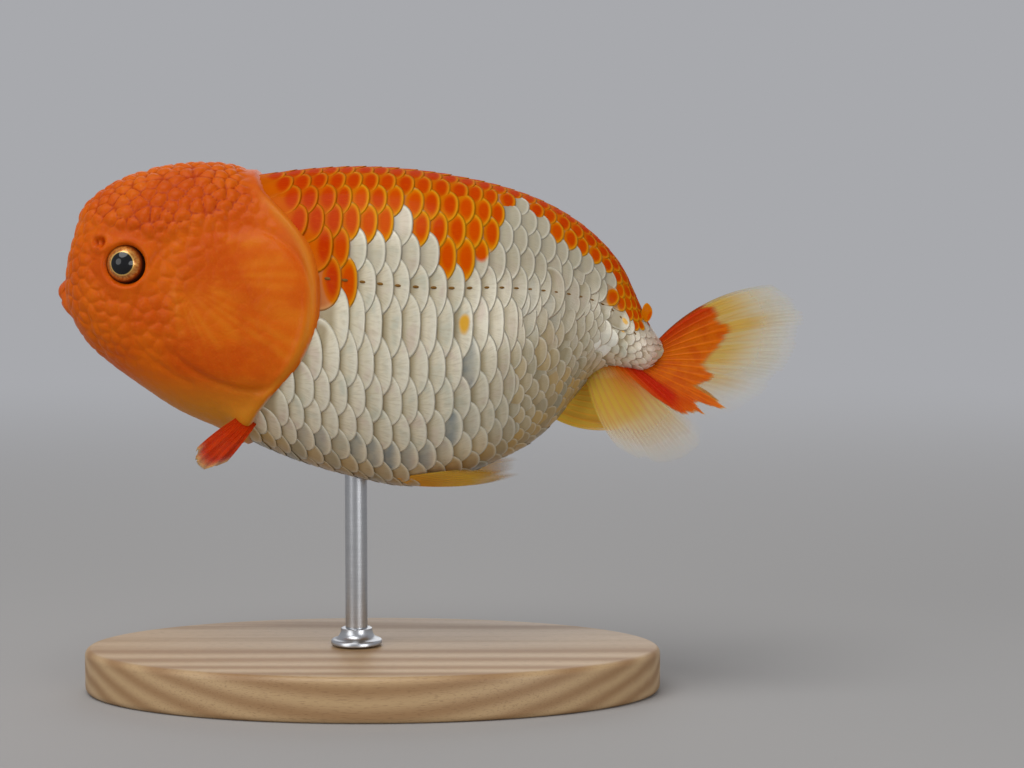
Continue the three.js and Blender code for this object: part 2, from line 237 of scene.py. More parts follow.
def seen_or_mirrored(finish):
    """1 for what the eye sees directly, in a mirror or through glass, and 0 for light on things."""
    kinds = ("Glossy", "Transmission", "Camera")
    glossy, through, seen = (finish.node("LightPath", output=f"Is {kind} Ray") for kind in kinds)
    return glossy.maths("MAXIMUM", through).maths("MAXIMUM", seen)


paper = Finish("floor_paper", Roughness=0.9, Base_Color=FLOOR_TONE)
at = paper.node("TexCoord", output="Object")
far = paper.node("VectorMath", {"operation": "LENGTH"}, {0: at}, "Value").ramp(*FADE)
plain = paper.node("Emission", None, {"Color": ROOM_TONE})
lit = Value(paper, paper.shader.outputs[0])
blend = paper.node("MixShader", None, {0: far * seen_or_mirrored(paper), 1: lit, 2: plain})
paper.feed(paper.tree.nodes["Material Output"].inputs["Surface"], blend)

bpy.ops.mesh.primitive_circle_add(vertices=96, radius=FLOOR_RADIUS, fill_type="NGON")
floor = bpy.context.object
floor.name = "floor"
floor.location.z = cad_low.z
floor.data.materials.append(paper.owner)

bpy.context.scene.world = bpy.data.worlds.new("room")
room = Finish("room", bpy.context.scene.world, Color=ROOM_TONE)
seen = seen_or_mirrored(room)
room.surface(Strength=seen + (1 - seen) * WORLD_STRENGTH)
paper.report()

# %% [markdown]
# ## Lamps
# A museum lights a model so that its colours can be judged. A small lamp would throw hard shadows and
# put a sharp glint on every scale. So four large soft ones light the fish like an overcast sky: one
# from above, one from each side and a weak one from behind. Each is a disc turned towards the point
# that the camera looks at.

# %% Lamps
LAMPS = {  # place, size and power
    "lamp_above": ((-0.2, -0.3, 0.75), 0.6, 3.2),
    "lamp_left": ((-0.75, -0.75, 0.35), 0.7, 2.6),
    "lamp_right": ((0.6, -0.8, 0.14), 0.6, 3.0),
    "lamp_behind": ((0.1, 0.8, 0.45), 0.8, 1.4),
}
for name, (spot, size, power) in LAMPS.items():
    lamp = bpy.data.lights.new(name, "AREA")
    lamp.shape, lamp.size, lamp.energy = "DISK", size, power
    holder = bpy.data.objects.new(name, lamp)
    holder.location = spot
    holder.rotation_mode = "QUATERNION"
    holder.rotation_quaternion = (look_at - Vector(spot)).to_track_quat("-Z", "Y")
    bpy.context.scene.collection.objects.link(holder)
bpy.context.scene.view_settings.view_transform = "Standard"
print("lamps:", len(LAMPS))

# %% [markdown]
# ## The body's shape
# The fish is deep and egg-shaped, with an arched back and a tail stem that turns down. It could be
# sculpted from a ball, but then nothing would fit the solids. They were drawn as a row of
# cross-sections from the lips to the tail root, each from a point of the back to a point of the
# belly, and the finished surfaces follow the same sections.

# %% Sections of the body
# back x, back z, belly x, belly z, half width, and 1 for an ellipse or less for a squarer section
SECTIONS = np.array([
    (-54.0, 75.6, -54.0, 71.4, 3.4, 0.86),  # lips
    (-53.2, 79.4, -53.2, 68.0, 7.4, 0.82),
    (-51.0, 85.6, -50.2, 63.2, 11.2, 0.78),  # nostrils
    (-46.8, 89.8, -46.1, 59.3, 13.6, 0.76),
    (-40.5, 92.7, -40.7, 55.3, 15.2, 0.76),  # eyes
    (-33.4, 94.1, -34.2, 51.0, 16.2, 0.78),
    (-27.0, 94.2, -27.4, 47.9, 17.0, 0.80),  # cheeks
    (-21.4, 93.4, -20.2, 44.6, 17.6, 0.83),
    (-10.8, 94.5, -11.7, 41.2, 19.0, 0.86),  # shoulder
    (-1.8, 94.9, -2.7, 38.7, 20.3, 0.87),
    (7.2, 94.4, 6.3, 37.1, 20.6, 0.87),  # belly
    (15.8, 93.1, 14.8, 38.4, 19.7, 0.87),
    (23.4, 91.3, 22.5, 41.7, 17.4, 0.87),
    (30.6, 88.7, 28.4, 44.8, 14.2, 0.87),
    (36.9, 85.1, 33.0, 48.8, 11.0, 0.87),  # vent
    (41.8, 80.9, 36.2, 52.9, 8.5, 0.87),
    (45.1, 76.7, 38.8, 56.0, 7.0, 0.87),  # tail stem
    (47.4, 71.9, 41.6, 58.0, 6.1, 0.87),
    (49.4, 67.5, 45.0, 58.0, 5.2, 0.87),
    (51.4, 64.3, 48.8, 57.6, 4.2, 0.87),
    (52.7, 62.6, 51.3, 59.2, 2.2, 0.87),  # tail root
])
BELLY_WEIGHT = 0.07  # how much wider the lower half of a section is
MIDDLE = (SECTIONS[:, 0:2] + SECTIONS[:, 2:4]) / 2
ALONG = np.concatenate([[0], np.cumsum(np.linalg.norm(np.diff(MIDDLE, axis=0), axis=1))])
BODY_LENGTH = ALONG[-1]
print("sections:", len(SECTIONS), "body length", round(BODY_LENGTH, 1), "mm")

# %% [markdown]
# ## Body coordinates
# Scales, warts and markings have to follow the body, and placing them in space would mean finding the
# surface again each time. So `flesh` turns a distance along the body and a turn around it into a
# point, with smooth curves from section to section. Everything can then be laid out in those two
# numbers, as if the fish were unrolled.


# %% Body coordinates
def through(knots, values, at):
    """A smooth curve through values given at rising knots."""
    knots, values, at = (np.asarray(v, float) for v in (knots, values, at))
    last = len(knots) - 1
    i = np.clip(np.searchsorted(knots, at, side="right") - 1, 0, last - 1)
    before, after = np.maximum(np.arange(last + 1) - 1, 0), np.minimum(np.arange(last + 1) + 1, last)
    slope = (values[after] - values[before]) / (knots[after] - knots[before])
    span = knots[i + 1] - knots[i]
    u = (at - knots[i]) / span
    return (
        (2 * u**3 - 3 * u**2 + 1) * values[i]
        + (u**3 - 2 * u**2 + u) * span * slope[i]
        + (3 * u**2 - 2 * u**3) * values[i + 1]
        + (u**3 - u**2) * span * slope[i + 1]
    )


def flesh(along, turn, grow=0.0):
    """Points of the body, x, y, z in mm. turn is 0 on the back and positive on the fish's right."""
    along = np.clip(along, 0, BODY_LENGTH)
    columns = (through(ALONG, column, along) for column in SECTIONS.T)
    back_x, back_z, belly_x, belly_z, half, full = columns
    up_x, up_z = (back_x - belly_x) / 2, (back_z - belly_z) / 2
    rise, out = (np.sign(wave) * np.abs(wave) ** full for wave in (np.cos(turn), np.sin(turn)))
    lift = rise * (1 + grow / np.hypot(up_x, up_z))
    return np.stack([
        (back_x + belly_x) / 2 + up_x * lift,
        out * (half * (1 - BELLY_WEIGHT * rise) + grow),
        (back_z + belly_z) / 2 + up_z * lift,
    ], -1)


snout, tail_root = flesh(0.0, 0.0), flesh(BODY_LENGTH, 0.0)
print("snout", snout.round(1), "tail root", tail_root.round(1))

# %% [markdown]
# ## Curves for shaping
# Three small curves do most of the shaping and painting below. One tells how high up the flank a
# point is. A smooth step starts a feature without a visible edge, and a bell curve makes a soft
# ridge, groove or patch. Straight ramps would do the same work, but their ends show as creases in the
# light.


# %% Curves for shaping
def height_on_flank(turn):
    """Degrees above the horizontal, seen along the body: 90 on the back and -90 on the belly."""
    return 90 - np.degrees(np.abs((np.asarray(turn) + np.pi) % (2 * np.pi) - np.pi))


def smooth(value, start, end):
    """0 before start, 1 after end."""
    share = np.clip((value - start) / (end - start), 0, 1)
    return share * share * (3 - 2 * share)


def hump(value, middle, width):
    """A bell curve that is 1 at its middle."""
    return np.exp(-(((value - middle) / width) ** 2))


print("a quarter turn is", height_on_flank(np.pi / 2), "degrees up the flank")

# %% [markdown]
# ## Meshes from grids
# Nearly every surface here is a grid of points bent into shape. Blender's own primitives and
# modifiers could give such shapes too, but in a grid each point is known by its row and column. So it
# can store numbers that the materials read as paint: where the orange goes, where a scale's own
# middle is, how clear a fin is. A map named OFBake lays the skin, the scales and the fins flat.


# %% Mesh helpers
def grid_faces(rows, columns, closed):
    """Quads of a grid, and the row and column of each of their corners."""
    last = columns if closed else columns - 1
    row, column = (v.ravel() for v in np.meshgrid(np.arange(rows - 1), np.arange(last), indexing="ij"))
    corner_rows = np.stack([row, row + 1, row + 1, row], 1)
    corner_columns = np.stack([column, column, column + 1, column + 1], 1)
    return corner_rows * columns + corner_columns % columns, corner_rows, corner_columns


def end_fans(rows, columns):
    """Triangles from a tube's first and last rings to two points that follow the grid's."""
    ring = np.arange(columns)
    after = (ring + 1) % columns
    total = rows * columns
    first = np.stack([np.full(columns, total), ring, after], 1)
    last = np.stack([np.full(columns, total + 1), total - columns + after, total - columns + ring], 1)
    return first.tolist() + last.tolist()


def end_rings(rows, columns):
    """A tube's first and last rings as faces, numbered from its first point."""
    return [list(range(columns))[::-1], [(rows - 1) * columns + k for k in range(columns)]]


def make_piece(name, slot, nodes, points, faces, finish, corner_map=None, **carried):
    """A smooth mesh from points in mm. It rides on the body and stands for its solids."""
    mesh = bpy.data.meshes.new(name)
    mesh.from_pydata((np.asarray(points) * MM).tolist(), [], [list(map(int, face)) for face in faces])
    mesh.shade_smooth()
    for attribute, values in carried.items():
        made = mesh.attributes.new(attribute, "FLOAT_VECTOR", "POINT")
        made.data.foreach_set("vector", np.asarray(values, np.float32).ravel())
    if corner_map is not None:
        layer = mesh.uv_layers.new(name="OFBake")
        layer.data.foreach_set("uv", np.asarray(corner_map, np.float32).ravel())
    mesh.materials.append(finish.owner)
    mesh.validate()
    piece = bpy.data.objects.new(name, mesh)
    bpy.context.scene.collection.objects.link(piece)
    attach(piece, "root")
    if nodes:
        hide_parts(*nodes)
    print(f"{name}: {sum(len(face) - 2 for face in faces)} triangles")
    return piece


print("a grid of 3 by 4 points has", len(grid_faces(3, 4, closed=False)[0]), "quads")

# %% [markdown]
# ## The markings
# The fish is orange and pearl white. Orange covers the head and the back, and comes down to a ragged
# line that steps from scale to scale. It could be painted on an unwrapped skin, but the scales would
# each need their own copy of the paint. So the line is a short list: from this distance along the
# body onwards, the coat is orange above that height on the flank. The skin and the scales both ask
# the same function, so their colours agree. The two flanks of one fish never match, so the line on
# the far flank is shifted to and fro a little.

# %% Where the colours are
ORANGE_ABOVE = np.array([
    (0, -30), (41, -22), (44, -6), (50.5, 12), (52.6, 32), (60.0, 46), (62.8, 32),
    (67.6, 19), (76.6, 40), (79.0, 68), (82.5, 58), (86.0, 43), (93.0, 39), (96.0, 24), (102.0, 36),
    (103.4, 60), (104.4, 91),
])
FAR_FLANK_SHIFT, SHIFT_WAVES, SHIFT_END = 2.6, 5, 95
# each patch: along, height, its spreads along and up, and its strength
GREY_PATCHES = [  # thin spots where the dark flesh shows
    (73.2, -14, 2.0, 8, 0.9), (72.4, -31, 2.6, 8, 0.9), (68.0, -43, 3.2, 7, 0.85),
    (60.0, -46, 5.0, 6, 0.7), (50.0, -47, 5.5, 6, 0.6), (41.0, -45, 4.0, 6, 0.4),
    # the last patch greys the rumpled scales of the tail stem
    (86.0, 6, 7.0, 16, 0.45),
]
WARM_PATCHES = [
    (92.0, -44, 5.0, 17, 0.95), (86.0, -18, 6.0, 24, 0.45), (84.0, -62, 8.0, 22, 0.6),
    (30.0, -80, 25.0, 30, 0.5),
]
# bright spots of painted highlight: glints on the scales of the tail stem
PAINTED_GLINT_PATCHES = [(98.6, -16, 3.2, 15, 1.0)]
WARM_BELLY, BELLY_FROM, BELLY_FULL = 0.85, -42, -78


def patches(table, along, turn):
    """How strongly each point lies in soft patches."""
    height = height_on_flank(turn)
    return sum(s * hump(along, a, wide) * hump(height, h, tall) for a, h, wide, tall, s in table)


def orange_line(along, turn):
    """The height on the flank above which the coat is orange."""
    shift = FAR_FLANK_SHIFT * np.sin(np.radians(height_on_flank(turn) * SHIFT_WAVES))
    shift = np.where((np.sin(turn) > 0) & (along < SHIFT_END), shift, 0)
    step = np.searchsorted(ORANGE_ABOVE[:, 0], along + shift, side="right") - 1
    return ORANGE_ABOVE[np.clip(step, 0, None), 1]


def is_orange(along, turn):
    return (height_on_flank(turn) > orange_line(along, turn)).astype(float)


def warmth(along, turn):
    belly = WARM_BELLY * smooth(height_on_flank(turn), BELLY_FROM, BELLY_FULL)
    return np.clip(belly + patches(WARM_PATCHES, along, turn), 0, 1)


print("at the shoulder the coat is orange from", orange_line(55.0, -1.0), "degrees up")

# %% [markdown]
# ## Layout of the scales
# A fish's scales stand in slanting rows like roof tiles. Scattering them at random would lose that
# lattice, which is the first thing the eye sees. Here they lie on fifteen rows, from the belly's
# middle line to the back's, with the odd rows half a scale later. Row 0 is the side line. The spacing
# is even along the trunk and shrinks towards the tail. Everything later measures itself by it: how
# thick the coat is, how far a tile reaches, and how high its free edge stands.

# %% Rows and columns
SIDE_LINE = 13.2  # height of row 0 on the flank, in degrees
BACK_ROW, BELLY_ROW = 6, -8
ROW_SPREAD = 0.2  # how much each row widens from the last
SPACING = 3.05
SPACING_SHARES = {0: 1.0, 72: 1.0, 77: 0.82, 82: 0.75, 88: 0.68, 95: 0.58, 102: 0.56, 108: 0.64}
FIRST_SCALE, LAST_SCALE = 33.85, 108.2
COAT_SHARE = 0.18  # depth of the coat, as a share of the spacing


def spacing(along):
    return SPACING * np.interp(along, list(SPACING_SHARES), list(SPACING_SHARES.values()))


def coat_depth(along):
    return COAT_SHARE * spacing(along)


def row_height(row):
    """Where a row lies on the flank, in degrees above the horizontal."""
    end, edge = (BACK_ROW, 90) if row >= 0 else (BELLY_ROW, -90)
    reach, total = abs(end), abs(edge - SIDE_LINE)
    step = (total - ROW_SPREAD * reach**2) / reach
    return SIDE_LINE + math.copysign(1, end) * (step * abs(row) + ROW_SPREAD * row**2)


column_places = [FIRST_SCALE]
while column_places[-1] < LAST_SCALE:
    column_places.append(column_places[-1] + float(spacing(column_places[-1])))
print("columns:", len(column_places), "rows:", BACK_ROW - BELLY_ROW + 1)

# %% [markdown]
# ## The edge of the head, and the gill covers
# The head's bare skin ends behind the gill covers and at the nape, and the scales start there. The
# edges could be loops of the mesh, but then the mesh would have to bend to them. Both are drawn in
# side view as smooth arcs, the same ones that part the solids, and a distance from each of them tells
# the skin where to step down, and where the bony lid stands proud.


# %% Outlines in side view
def bezier(points, steps=24):
    """Points of a chain of cubic arcs, which share their end points."""
    t = np.linspace(0, 1, steps)[:, None]
    arcs = []
    for k in range(0, len(points) - 1, 3):
        a, b, c, d = np.array(points[k : k + 4], float)
        arcs.append((1 - t) ** 3 * a + 3 * (1 - t) ** 2 * t * b + 3 * (1 - t) * t**2 * c + t**3 * d)
    return np.concatenate(arcs)


HEAD_EDGE = bezier([
    (-21.5, 44), (-21.5, 45), (-21.5, 46), (-21.5, 47), (-19.5, 52), (-17.5, 53.5), (-14.7, 56.7),
    (-8.6, 62), (-6.8, 71), (-8.8, 77.6), (-10, 82.6), (-14.5, 85.8), (-18.6, 90.2),
    (-19.5, 92), (-20.2, 93), (-20.6, 95),
])
GILL_COVER = bezier([
    (-32.6, 77.5), (-30, 83.5), (-20, 85.5), (-14.6, 81), (-7.6, 76), (-7.4, 62.5), (-15.4, 57.2),
    (-19.5, 53.6), (-30.5, 57.5), (-35.5, 64.5), (-37, 67.5), (-34.5, 74), (-32.6, 77.5),
])


def behind_head(points):
    """How far a point lies behind the edge of the head, in mm along x."""
    return points[..., 0] - np.interp(points[..., 2], HEAD_EDGE[:, 1], HEAD_EDGE[:, 0])


def inside_outline(points, outline):
    """Distance from a closed outline in side view, positive inside it."""
    x, z = points[..., 0].ravel(), points[..., 2].ravel()
    gap, inside = np.full(len(x), np.inf), np.zeros(len(x), bool)
    for (ax, az), (bx, bz) in zip(outline, np.roll(outline, -1, axis=0)):
        over, up = bx - ax, bz - az
        if over == 0 and up == 0:
            continue
        t = np.clip(((x - ax) * over + (z - az) * up) / (over**2 + up**2), 0, 1)
        gap = np.minimum(gap, np.hypot(x - ax - t * over, z - az - t * up))
        spans = (az > z) != (bz > z)
        inside ^= spans & (x < ax + (z - az) * over / (up or 1))
    return np.where(inside, gap, -gap).reshape(points.shape[:-1])


print("gill cover outline:", len(GILL_COVER), "points")

# %% [markdown]
# ## The skin
# One skin covers head, trunk and tail stem, so no seam shows between the solids it stands for. The
# solids could be joined and smoothed, but their cuts would still show in the shine. So the skin
# starts as a plain grid of points. On the flat face a small step along the body is a long way over
# the skin, so the head's rows are chosen by the longest way any point of a row has to go to the next.

# %% The plain skin as a grid
SKIN_COLUMNS = 400
HEAD_STEP, TRUNK_STEP, HEAD_GRID_END = 0.38, 1.7, 50.0
NOSE_RINGS, NOSE_BULGE = 14, 0.5
TAIL_RINGS, TAIL_BULGE = 4, 0.8
EVENING = 0.15  # evens out the points of a squarish section

column = np.linspace(0, 2 * np.pi, SKIN_COLUMNS, endpoint=False)
skin_turn = column - EVENING * np.sin(4 * column)
fine_along = np.linspace(0, HEAD_GRID_END, 3000)
profiles = flesh(fine_along[:, None], np.linspace(0, 2 * np.pi, 16)[None])
longest = np.linalg.norm(np.diff(profiles, axis=0), axis=-1).max(1)
travelled = np.concatenate([[0], np.cumsum(longest)])
head_rows = int(travelled[-1] / HEAD_STEP)
row_places = np.linspace(0, travelled[-1], head_rows, endpoint=False)
trunk_along = np.arange(HEAD_GRID_END, BODY_LENGTH, TRUNK_STEP)
skin_along = np.concatenate([np.interp(row_places, travelled, fine_along), trunk_along, [BODY_LENGTH]])
barrel = flesh(skin_along[:, None], skin_turn[None, :])


def closing_rings(ring, count, bulge):
    """Rings that close an end, from the smallest outwards."""
    centre = ring.mean(0)
    shares = np.sin(np.linspace(0, np.pi / 2, count + 2)[1:-1])[:, None, None]
    out = np.sqrt(1 - shares**2) * [bulge, 0, 0]
    return centre + (ring - centre) * shares + out


def unit(vectors):
    return vectors / np.linalg.norm(vectors, axis=-1, keepdims=True)


nose = closing_rings(barrel[0], NOSE_RINGS, -NOSE_BULGE)
rump = closing_rings(barrel[-1], TAIL_RINGS, TAIL_BULGE)[::-1]
plain_skin = np.concatenate([nose, barrel, rump])
grid_along = np.pad(skin_along, (NOSE_RINGS, TAIL_RINGS), "edge")[:, None]
grid_along, grid_turn = np.broadcast_arrays(grid_along, skin_turn)
round_columns = np.roll(plain_skin, -1, axis=1) - np.roll(plain_skin, 1, axis=1)
skin_normal = unit(np.cross(np.gradient(plain_skin, axis=0), round_columns))
print("skin grid:", plain_skin.shape[:2])

# %% [markdown]
# ## Warts
# The growth on the head is a crowd of small soft warts. A noise texture gives bumps too, but not the
# narrow creases between them. So seed points are thrown onto the head, and one that lands too close
# to another is dropped, which spaces them as evenly as real ones. Each point of the skin then
# measures its nearest and second nearest seed. Where the two are equal lies the valley between two
# warts, so one minus their ratio squared gives round cushions.

# %% Warts
WART_SPACING = 1.75
WART_THROWS = 9000
WART_END = 40  # how far along the body they reach
rng = np.random.default_rng(11)
throws = flesh(rng.uniform(0.5, WART_END, WART_THROWS), rng.uniform(0, 2 * np.pi, WART_THROWS))
seeds = throws[:1]
for throw in throws[1:]:
    if np.min(((seeds - throw) ** 2).sum(1)) > WART_SPACING**2:
        seeds = np.vstack([seeds, throw])


def cushions(points):
    """1 on top of each wart and 0 in the valleys between them."""
    made = []
    for row in points:
        squares = ((row[:, None, :] - seeds[None]) ** 2).sum(-1)
        nearest = np.partition(squares, 1, axis=1)
        made.append(1 - nearest[:, 0] / nearest[:, 1])
    return np.array(made)


print("warts:", len(seeds))

# %% [markdown]
# ## Features of the head
# Eyes, mouth, nostrils and gill covers could be sculpted by hand with a brush. Here each is a height
# in millimetres over the plain skin, so one number can change it. The eye's opening is a curve of
# heights over the distance from the eye's middle: deep inside the globe, then a raised rim, then back
# to the cheek. The mouth is a slit between two soft ridges, a nostril is a pit with a flap across it,
# and the bony gill cover has a raised free edge.

# %% Features of the head
EYE_LOW, EYE_HIGH = (np.array(corner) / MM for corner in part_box("eye_left"))
EYE_MIDDLE, EYE_RADIUS = (EYE_LOW + EYE_HIGH) / 2, (EYE_HIGH[0] - EYE_LOW[0]) / 2
EYE_OPENING = {0: -4.5, 2.9: -3.0, 3.25: -1.0, 3.55: 0.1, 4.1: 0.5, 5.0: 0.25, 6.2: -0.1, 7.2: 0.0}
MOUTH_HEIGHT, MOUTH_HALF, MOUTH_DROOP = 71.6, 4.0, 0.075
LIP_HEIGHT = 2.3  # from the slit to the outer edge of a lip
NOSTRIL = np.array([-46.3, 81.0])
OFF_MIDDLE = 9  # added to a distance near the middle plane, so that a feature stays on the flanks
CHEEK_MOVED = (-4.6, -0.6)  # the cheek's edge is the gill cover's, moved by this much

head = plain_skin[: NOSE_RINGS + head_rows]
x, y, z = np.moveaxis(head, -1, 0)
to_eye = np.hypot(x - EYE_MIDDLE[0], z - EYE_MIDDLE[2]) + OFF_MIDDLE * (np.abs(y) < 6)
eye_rim = np.interp(to_eye, list(EYE_OPENING), list(EYE_OPENING.values()))

slit = z - (MOUTH_HEIGHT - MOUTH_DROOP * y**2)
at_front = smooth(-x, 46.5, 50.0)
lips = np.hypot(y / (MOUTH_HALF + 1.1), slit / LIP_HEIGHT)  # 1 on the outer edge of the lips
mouth = at_front * (  # the whole snout, the lips, the crease round them, and the slit
    0.9 * smooth(lips, 2.2, 0.2) + 0.7 * smooth(lips, 1.2, 0.55) - 0.28 * hump(lips, 1.32, 0.2)
    - 1.9 * hump(slit, 0, 0.34) * smooth(np.abs(y), MOUTH_HALF + 0.2, MOUTH_HALF - 1.0)
)

to_nostril = np.hypot(x - NOSTRIL[0], z - NOSTRIL[1]) + OFF_MIDDLE * (np.abs(y) < 4)
flap = 1.3 * hump(x - NOSTRIL[0], -0.15, 0.28) * smooth(to_nostril, 1.4, 0.8)
nostril = 0.4 * hump(to_nostril, 1.5, 0.5) - 1.0 * smooth(to_nostril, 1.1, 0.5) + flap

in_cover = inside_outline(head, GILL_COVER)  # how far inside the gill cover a point is
on_side = smooth(np.abs(y), 5, 9)
free_edge = smooth(x - 0.5 * (z - 70), -33, -22)
cover_edge = free_edge * (0.3 * smooth(in_cover, -0.1, 0.9) - 0.3 * hump(in_cover, -0.45, 0.4))
gill_cover = on_side * (0.25 * smooth(in_cover, -0.3, 2.5) + cover_edge)
in_cheek = inside_outline(head, GILL_COVER + CHEEK_MOVED)
cheek_crease = on_side * (-0.22) * hump(in_cheek, 0, 0.45) * (x < -30)
jaw_line = -0.3 * hump(x + 50 - 0.34 * (71 - z), 0, 0.6) * smooth(z, 52, 60) * smooth(-z, -71, -69) * on_side
print("deepest", round(float(eye_rim.min()), 1), "mm, highest", round(float(mouth.max()), 1), "mm")

# %% [markdown]
# ## The growth, and the step down to the scales
# The breed's warty growth covers the crown, the cheeks round the gill cover, and the top of the
# snout. It leaves the eyes, lips and nostrils bare. All heights are then added up and the skin is
# moved out along its normals, which a displacement modifier could do as well, but not with so many
# masks. Behind the head the skin goes down by the depth of the coat, to make room for it. A small
# fleshy lump on each side is the base of the breast fin.

# %% The growth, and the step down to the scales
BREAST_FIN_ROOT = np.array([-21.6, 12.6, 51.0])
FIN_BASE, FIN_BASE_WIDTH = 1.1, 2.2
past_edge = behind_head(head)
crown = smooth(z - 0.25 * np.abs(x + 38), 78.5, 84) * smooth(past_edge, -0.8, -3.8)
round_cover = smooth(-in_cover, -8, -1) * (1 - free_edge) * (in_cover > -1.5)
round_cover = np.clip(smooth(-in_cover, -0.3, 1.5) + round_cover, 0, 1)
cheeks = 0.42 * smooth(z, 55, 64) * round_cover * smooth(past_edge, -1, -5)
snout_top = 0.5 * smooth(z, 74.5, 78) * smooth(-x, 44, 48)
growth = np.max([crown, cheeks, snout_top, 0.1 * (past_edge < -1)], axis=0)
growth *= smooth(to_eye, 4.6, 6.6) * (1 - at_front * smooth(lips, 2.4, 1.3)) * smooth(to_nostril, 1.6, 2.8)
wart = cushions(head)
swelling = growth * (0.72 * wart - 0.08) + 0.45 * crown * smooth(to_eye, 5.0, 8.0)

heights = np.zeros(plain_skin.shape[:2])
heights[: len(head)] = eye_rim + mouth + nostril + gill_cover + cheek_crease + jaw_line + swelling
one_flank = np.stack([plain_skin[..., 0], np.abs(plain_skin[..., 1]), plain_skin[..., 2]], -1)
to_fin = np.linalg.norm(one_flank - BREAST_FIN_ROOT, axis=-1)
heights += FIN_BASE * hump(to_fin, 0, FIN_BASE_WIDTH)
past_head = behind_head(plain_skin)
under_coat = smooth(past_head, -0.2, 0.5)
lip_of_gill = 0.5 * smooth(past_head, -3.2, -0.7)
moves = (heights + lip_of_gill) * (1 - under_coat) - coat_depth(grid_along) * under_coat
skin_points = plain_skin + skin_normal * moves[..., None]
print("highest feature", round(float(heights.max()), 2), "mm")

# %% [markdown]
# ## The skin's material
# Living skin is wet, soft and a little see-through, so light goes a short way into it. The orange is
# painted darker in the valleys between the warts, as painted shade, and fades to gold under the
# throat. Fine bony ribs fan out under the skin of the gill cover. A painted texture would stretch over
# the warts, so the mesh says where all this is, and noise in space breaks it up.

# %% Skin material
skin_finish = Finish(
    "goldfish_skin", Specular_IOR_Level=0.08, Coat_Weight=0.06, Coat_Roughness=0.18,
    Subsurface_Weight=0.2, Subsurface_Scale=0.0012, Subsurface_Radius=(1.0, 0.35, 0.1),
)
orange, warm, grey = skin_finish.carried("skin_paint")
wart_top, ribs, throat = skin_finish.carried("skin_form")
place = skin_finish.place()
cloud = skin_finish.noise(place, 0.11, 3.0)
speckle = skin_finish.noise(place, 1.9)
head_colour = skin_finish.layers(
    (200, 80, 2),
    (cloud.ramp(0.35, 0.65), (212, 98, 4)),
    # painted shade: a darker orange in the valleys between the warts
    (wart_top.ramp(0.0, 0.55, 0.75, 0.0), (160, 40, 1)),
    (throat, (204, 130, 30)),
    (ribs * cloud.ramp(0.4, 0.6, 0.05, 0.3), (220, 132, 26)),
)
skin_finish.surface(
    Base_Color=skin_finish.layers(
        (196, 186, 158),
        (warm, (186, 152, 100)),
        (grey, (132, 136, 132)),
        (orange, head_colour),
        (speckle.ramp(0.52, 0.72, 0.0, 0.16), (224, 120, 26)),
    ),
    Roughness=speckle.ramp(0.3, 0.7, 0.36, 0.5),
    Normal=skin_finish.bump(skin_finish.noise(place, 3.4, 3.0) + 0.4 * speckle, 0.00012, 0.5),
)
skin_finish.report()

# %% [markdown]
# ## The skin as a piece
# The skin's points carry its paint: how orange it is, how warm or grey its pale parts are, how far a
# point is up a wart, and where the ribs and the golden throat are. An automatic unwrap would cut the
# skin into islands. The grid needs only one cut: its map for baking is the unrolled body, along it
# one way and round it the other. A fan of triangles closes each end.

# %% Build the skin
RIBS, RIB_WAVER = 38, 11
TIP_OUT = [0.02, 0, 0]  # from the last ring to the point that closes it
FLESH = ["head", "muzzle", "lower_jaw", "crown_growth", "gill_cover_left", "gill_cover_right"]
above_line = height_on_flank(grid_turn) - orange_line(grid_along, grid_turn)
skin_orange = np.maximum(smooth(above_line, -4, 3), 1 - under_coat)
skin_grey = patches(GREY_PATCHES, grid_along, grid_turn)
paint = np.stack([skin_orange, warmth(grid_along, grid_turn), skin_grey], -1)
fan_angle = np.arctan2(z - 75, x + 33)
rib_waves = 0.5 + 0.5 * np.sin(fan_angle * RIBS + 2 * np.sin(fan_angle * RIB_WAVER))
form = np.zeros(plain_skin.shape)
form[..., 0] = 1
form[: len(head), :, 0] -= growth * (1 - wart)
form[: len(head), :, 1] = smooth(in_cover, 0, 2) * on_side * rib_waves
low = smooth(-plain_skin[..., 2], -60, -50) * (1 - under_coat)
edge_strip = hump(past_head, -0.9, 0.9) * smooth(-plain_skin[..., 2], -92, -84)
form[..., 2] = np.maximum(low, 0.65 * edge_strip)

rows_total = len(skin_points)
skin_faces, corner_rows, corner_columns = grid_faces(rows_total, SKIN_COLUMNS, closed=True)
ring = np.arange(SKIN_COLUMNS)
fan_columns = np.stack([ring + 0.5, ring, ring + 1, ring + 0.5, ring + 1, ring], 1).reshape(-1, 2, 3)
fan_rows = np.repeat([[-1, 0, 0], [rows_total, rows_total - 1, rows_total - 1]], SKIN_COLUMNS, axis=0)
map_rows = np.concatenate([corner_rows.ravel(), fan_rows.ravel()]) / (rows_total - 1)
map_columns = np.concatenate([corner_columns.ravel(), fan_columns.swapaxes(0, 1).ravel()]) / SKIN_COLUMNS
ends = [skin_points[0].mean(0) - TIP_OUT, skin_points[-1].mean(0) + TIP_OUT]


def with_tips(values):
    """Grid values as a list of points, with one more for each closed end."""
    return np.vstack([values.reshape(-1, 3), values[0].mean(0), values[-1].mean(0)])


make_piece(
    "skin", "head_skin", [*FLESH, "trunk", "tail_stem"],
    np.vstack([skin_points.reshape(-1, 3), ends]),
    skin_faces.tolist() + end_fans(rows_total, SKIN_COLUMNS),
    skin_finish,
    0.01 + 0.98 * np.stack([map_rows, map_columns], -1),
    skin_paint=with_tips(paint),
    skin_form=with_tips(form),
)

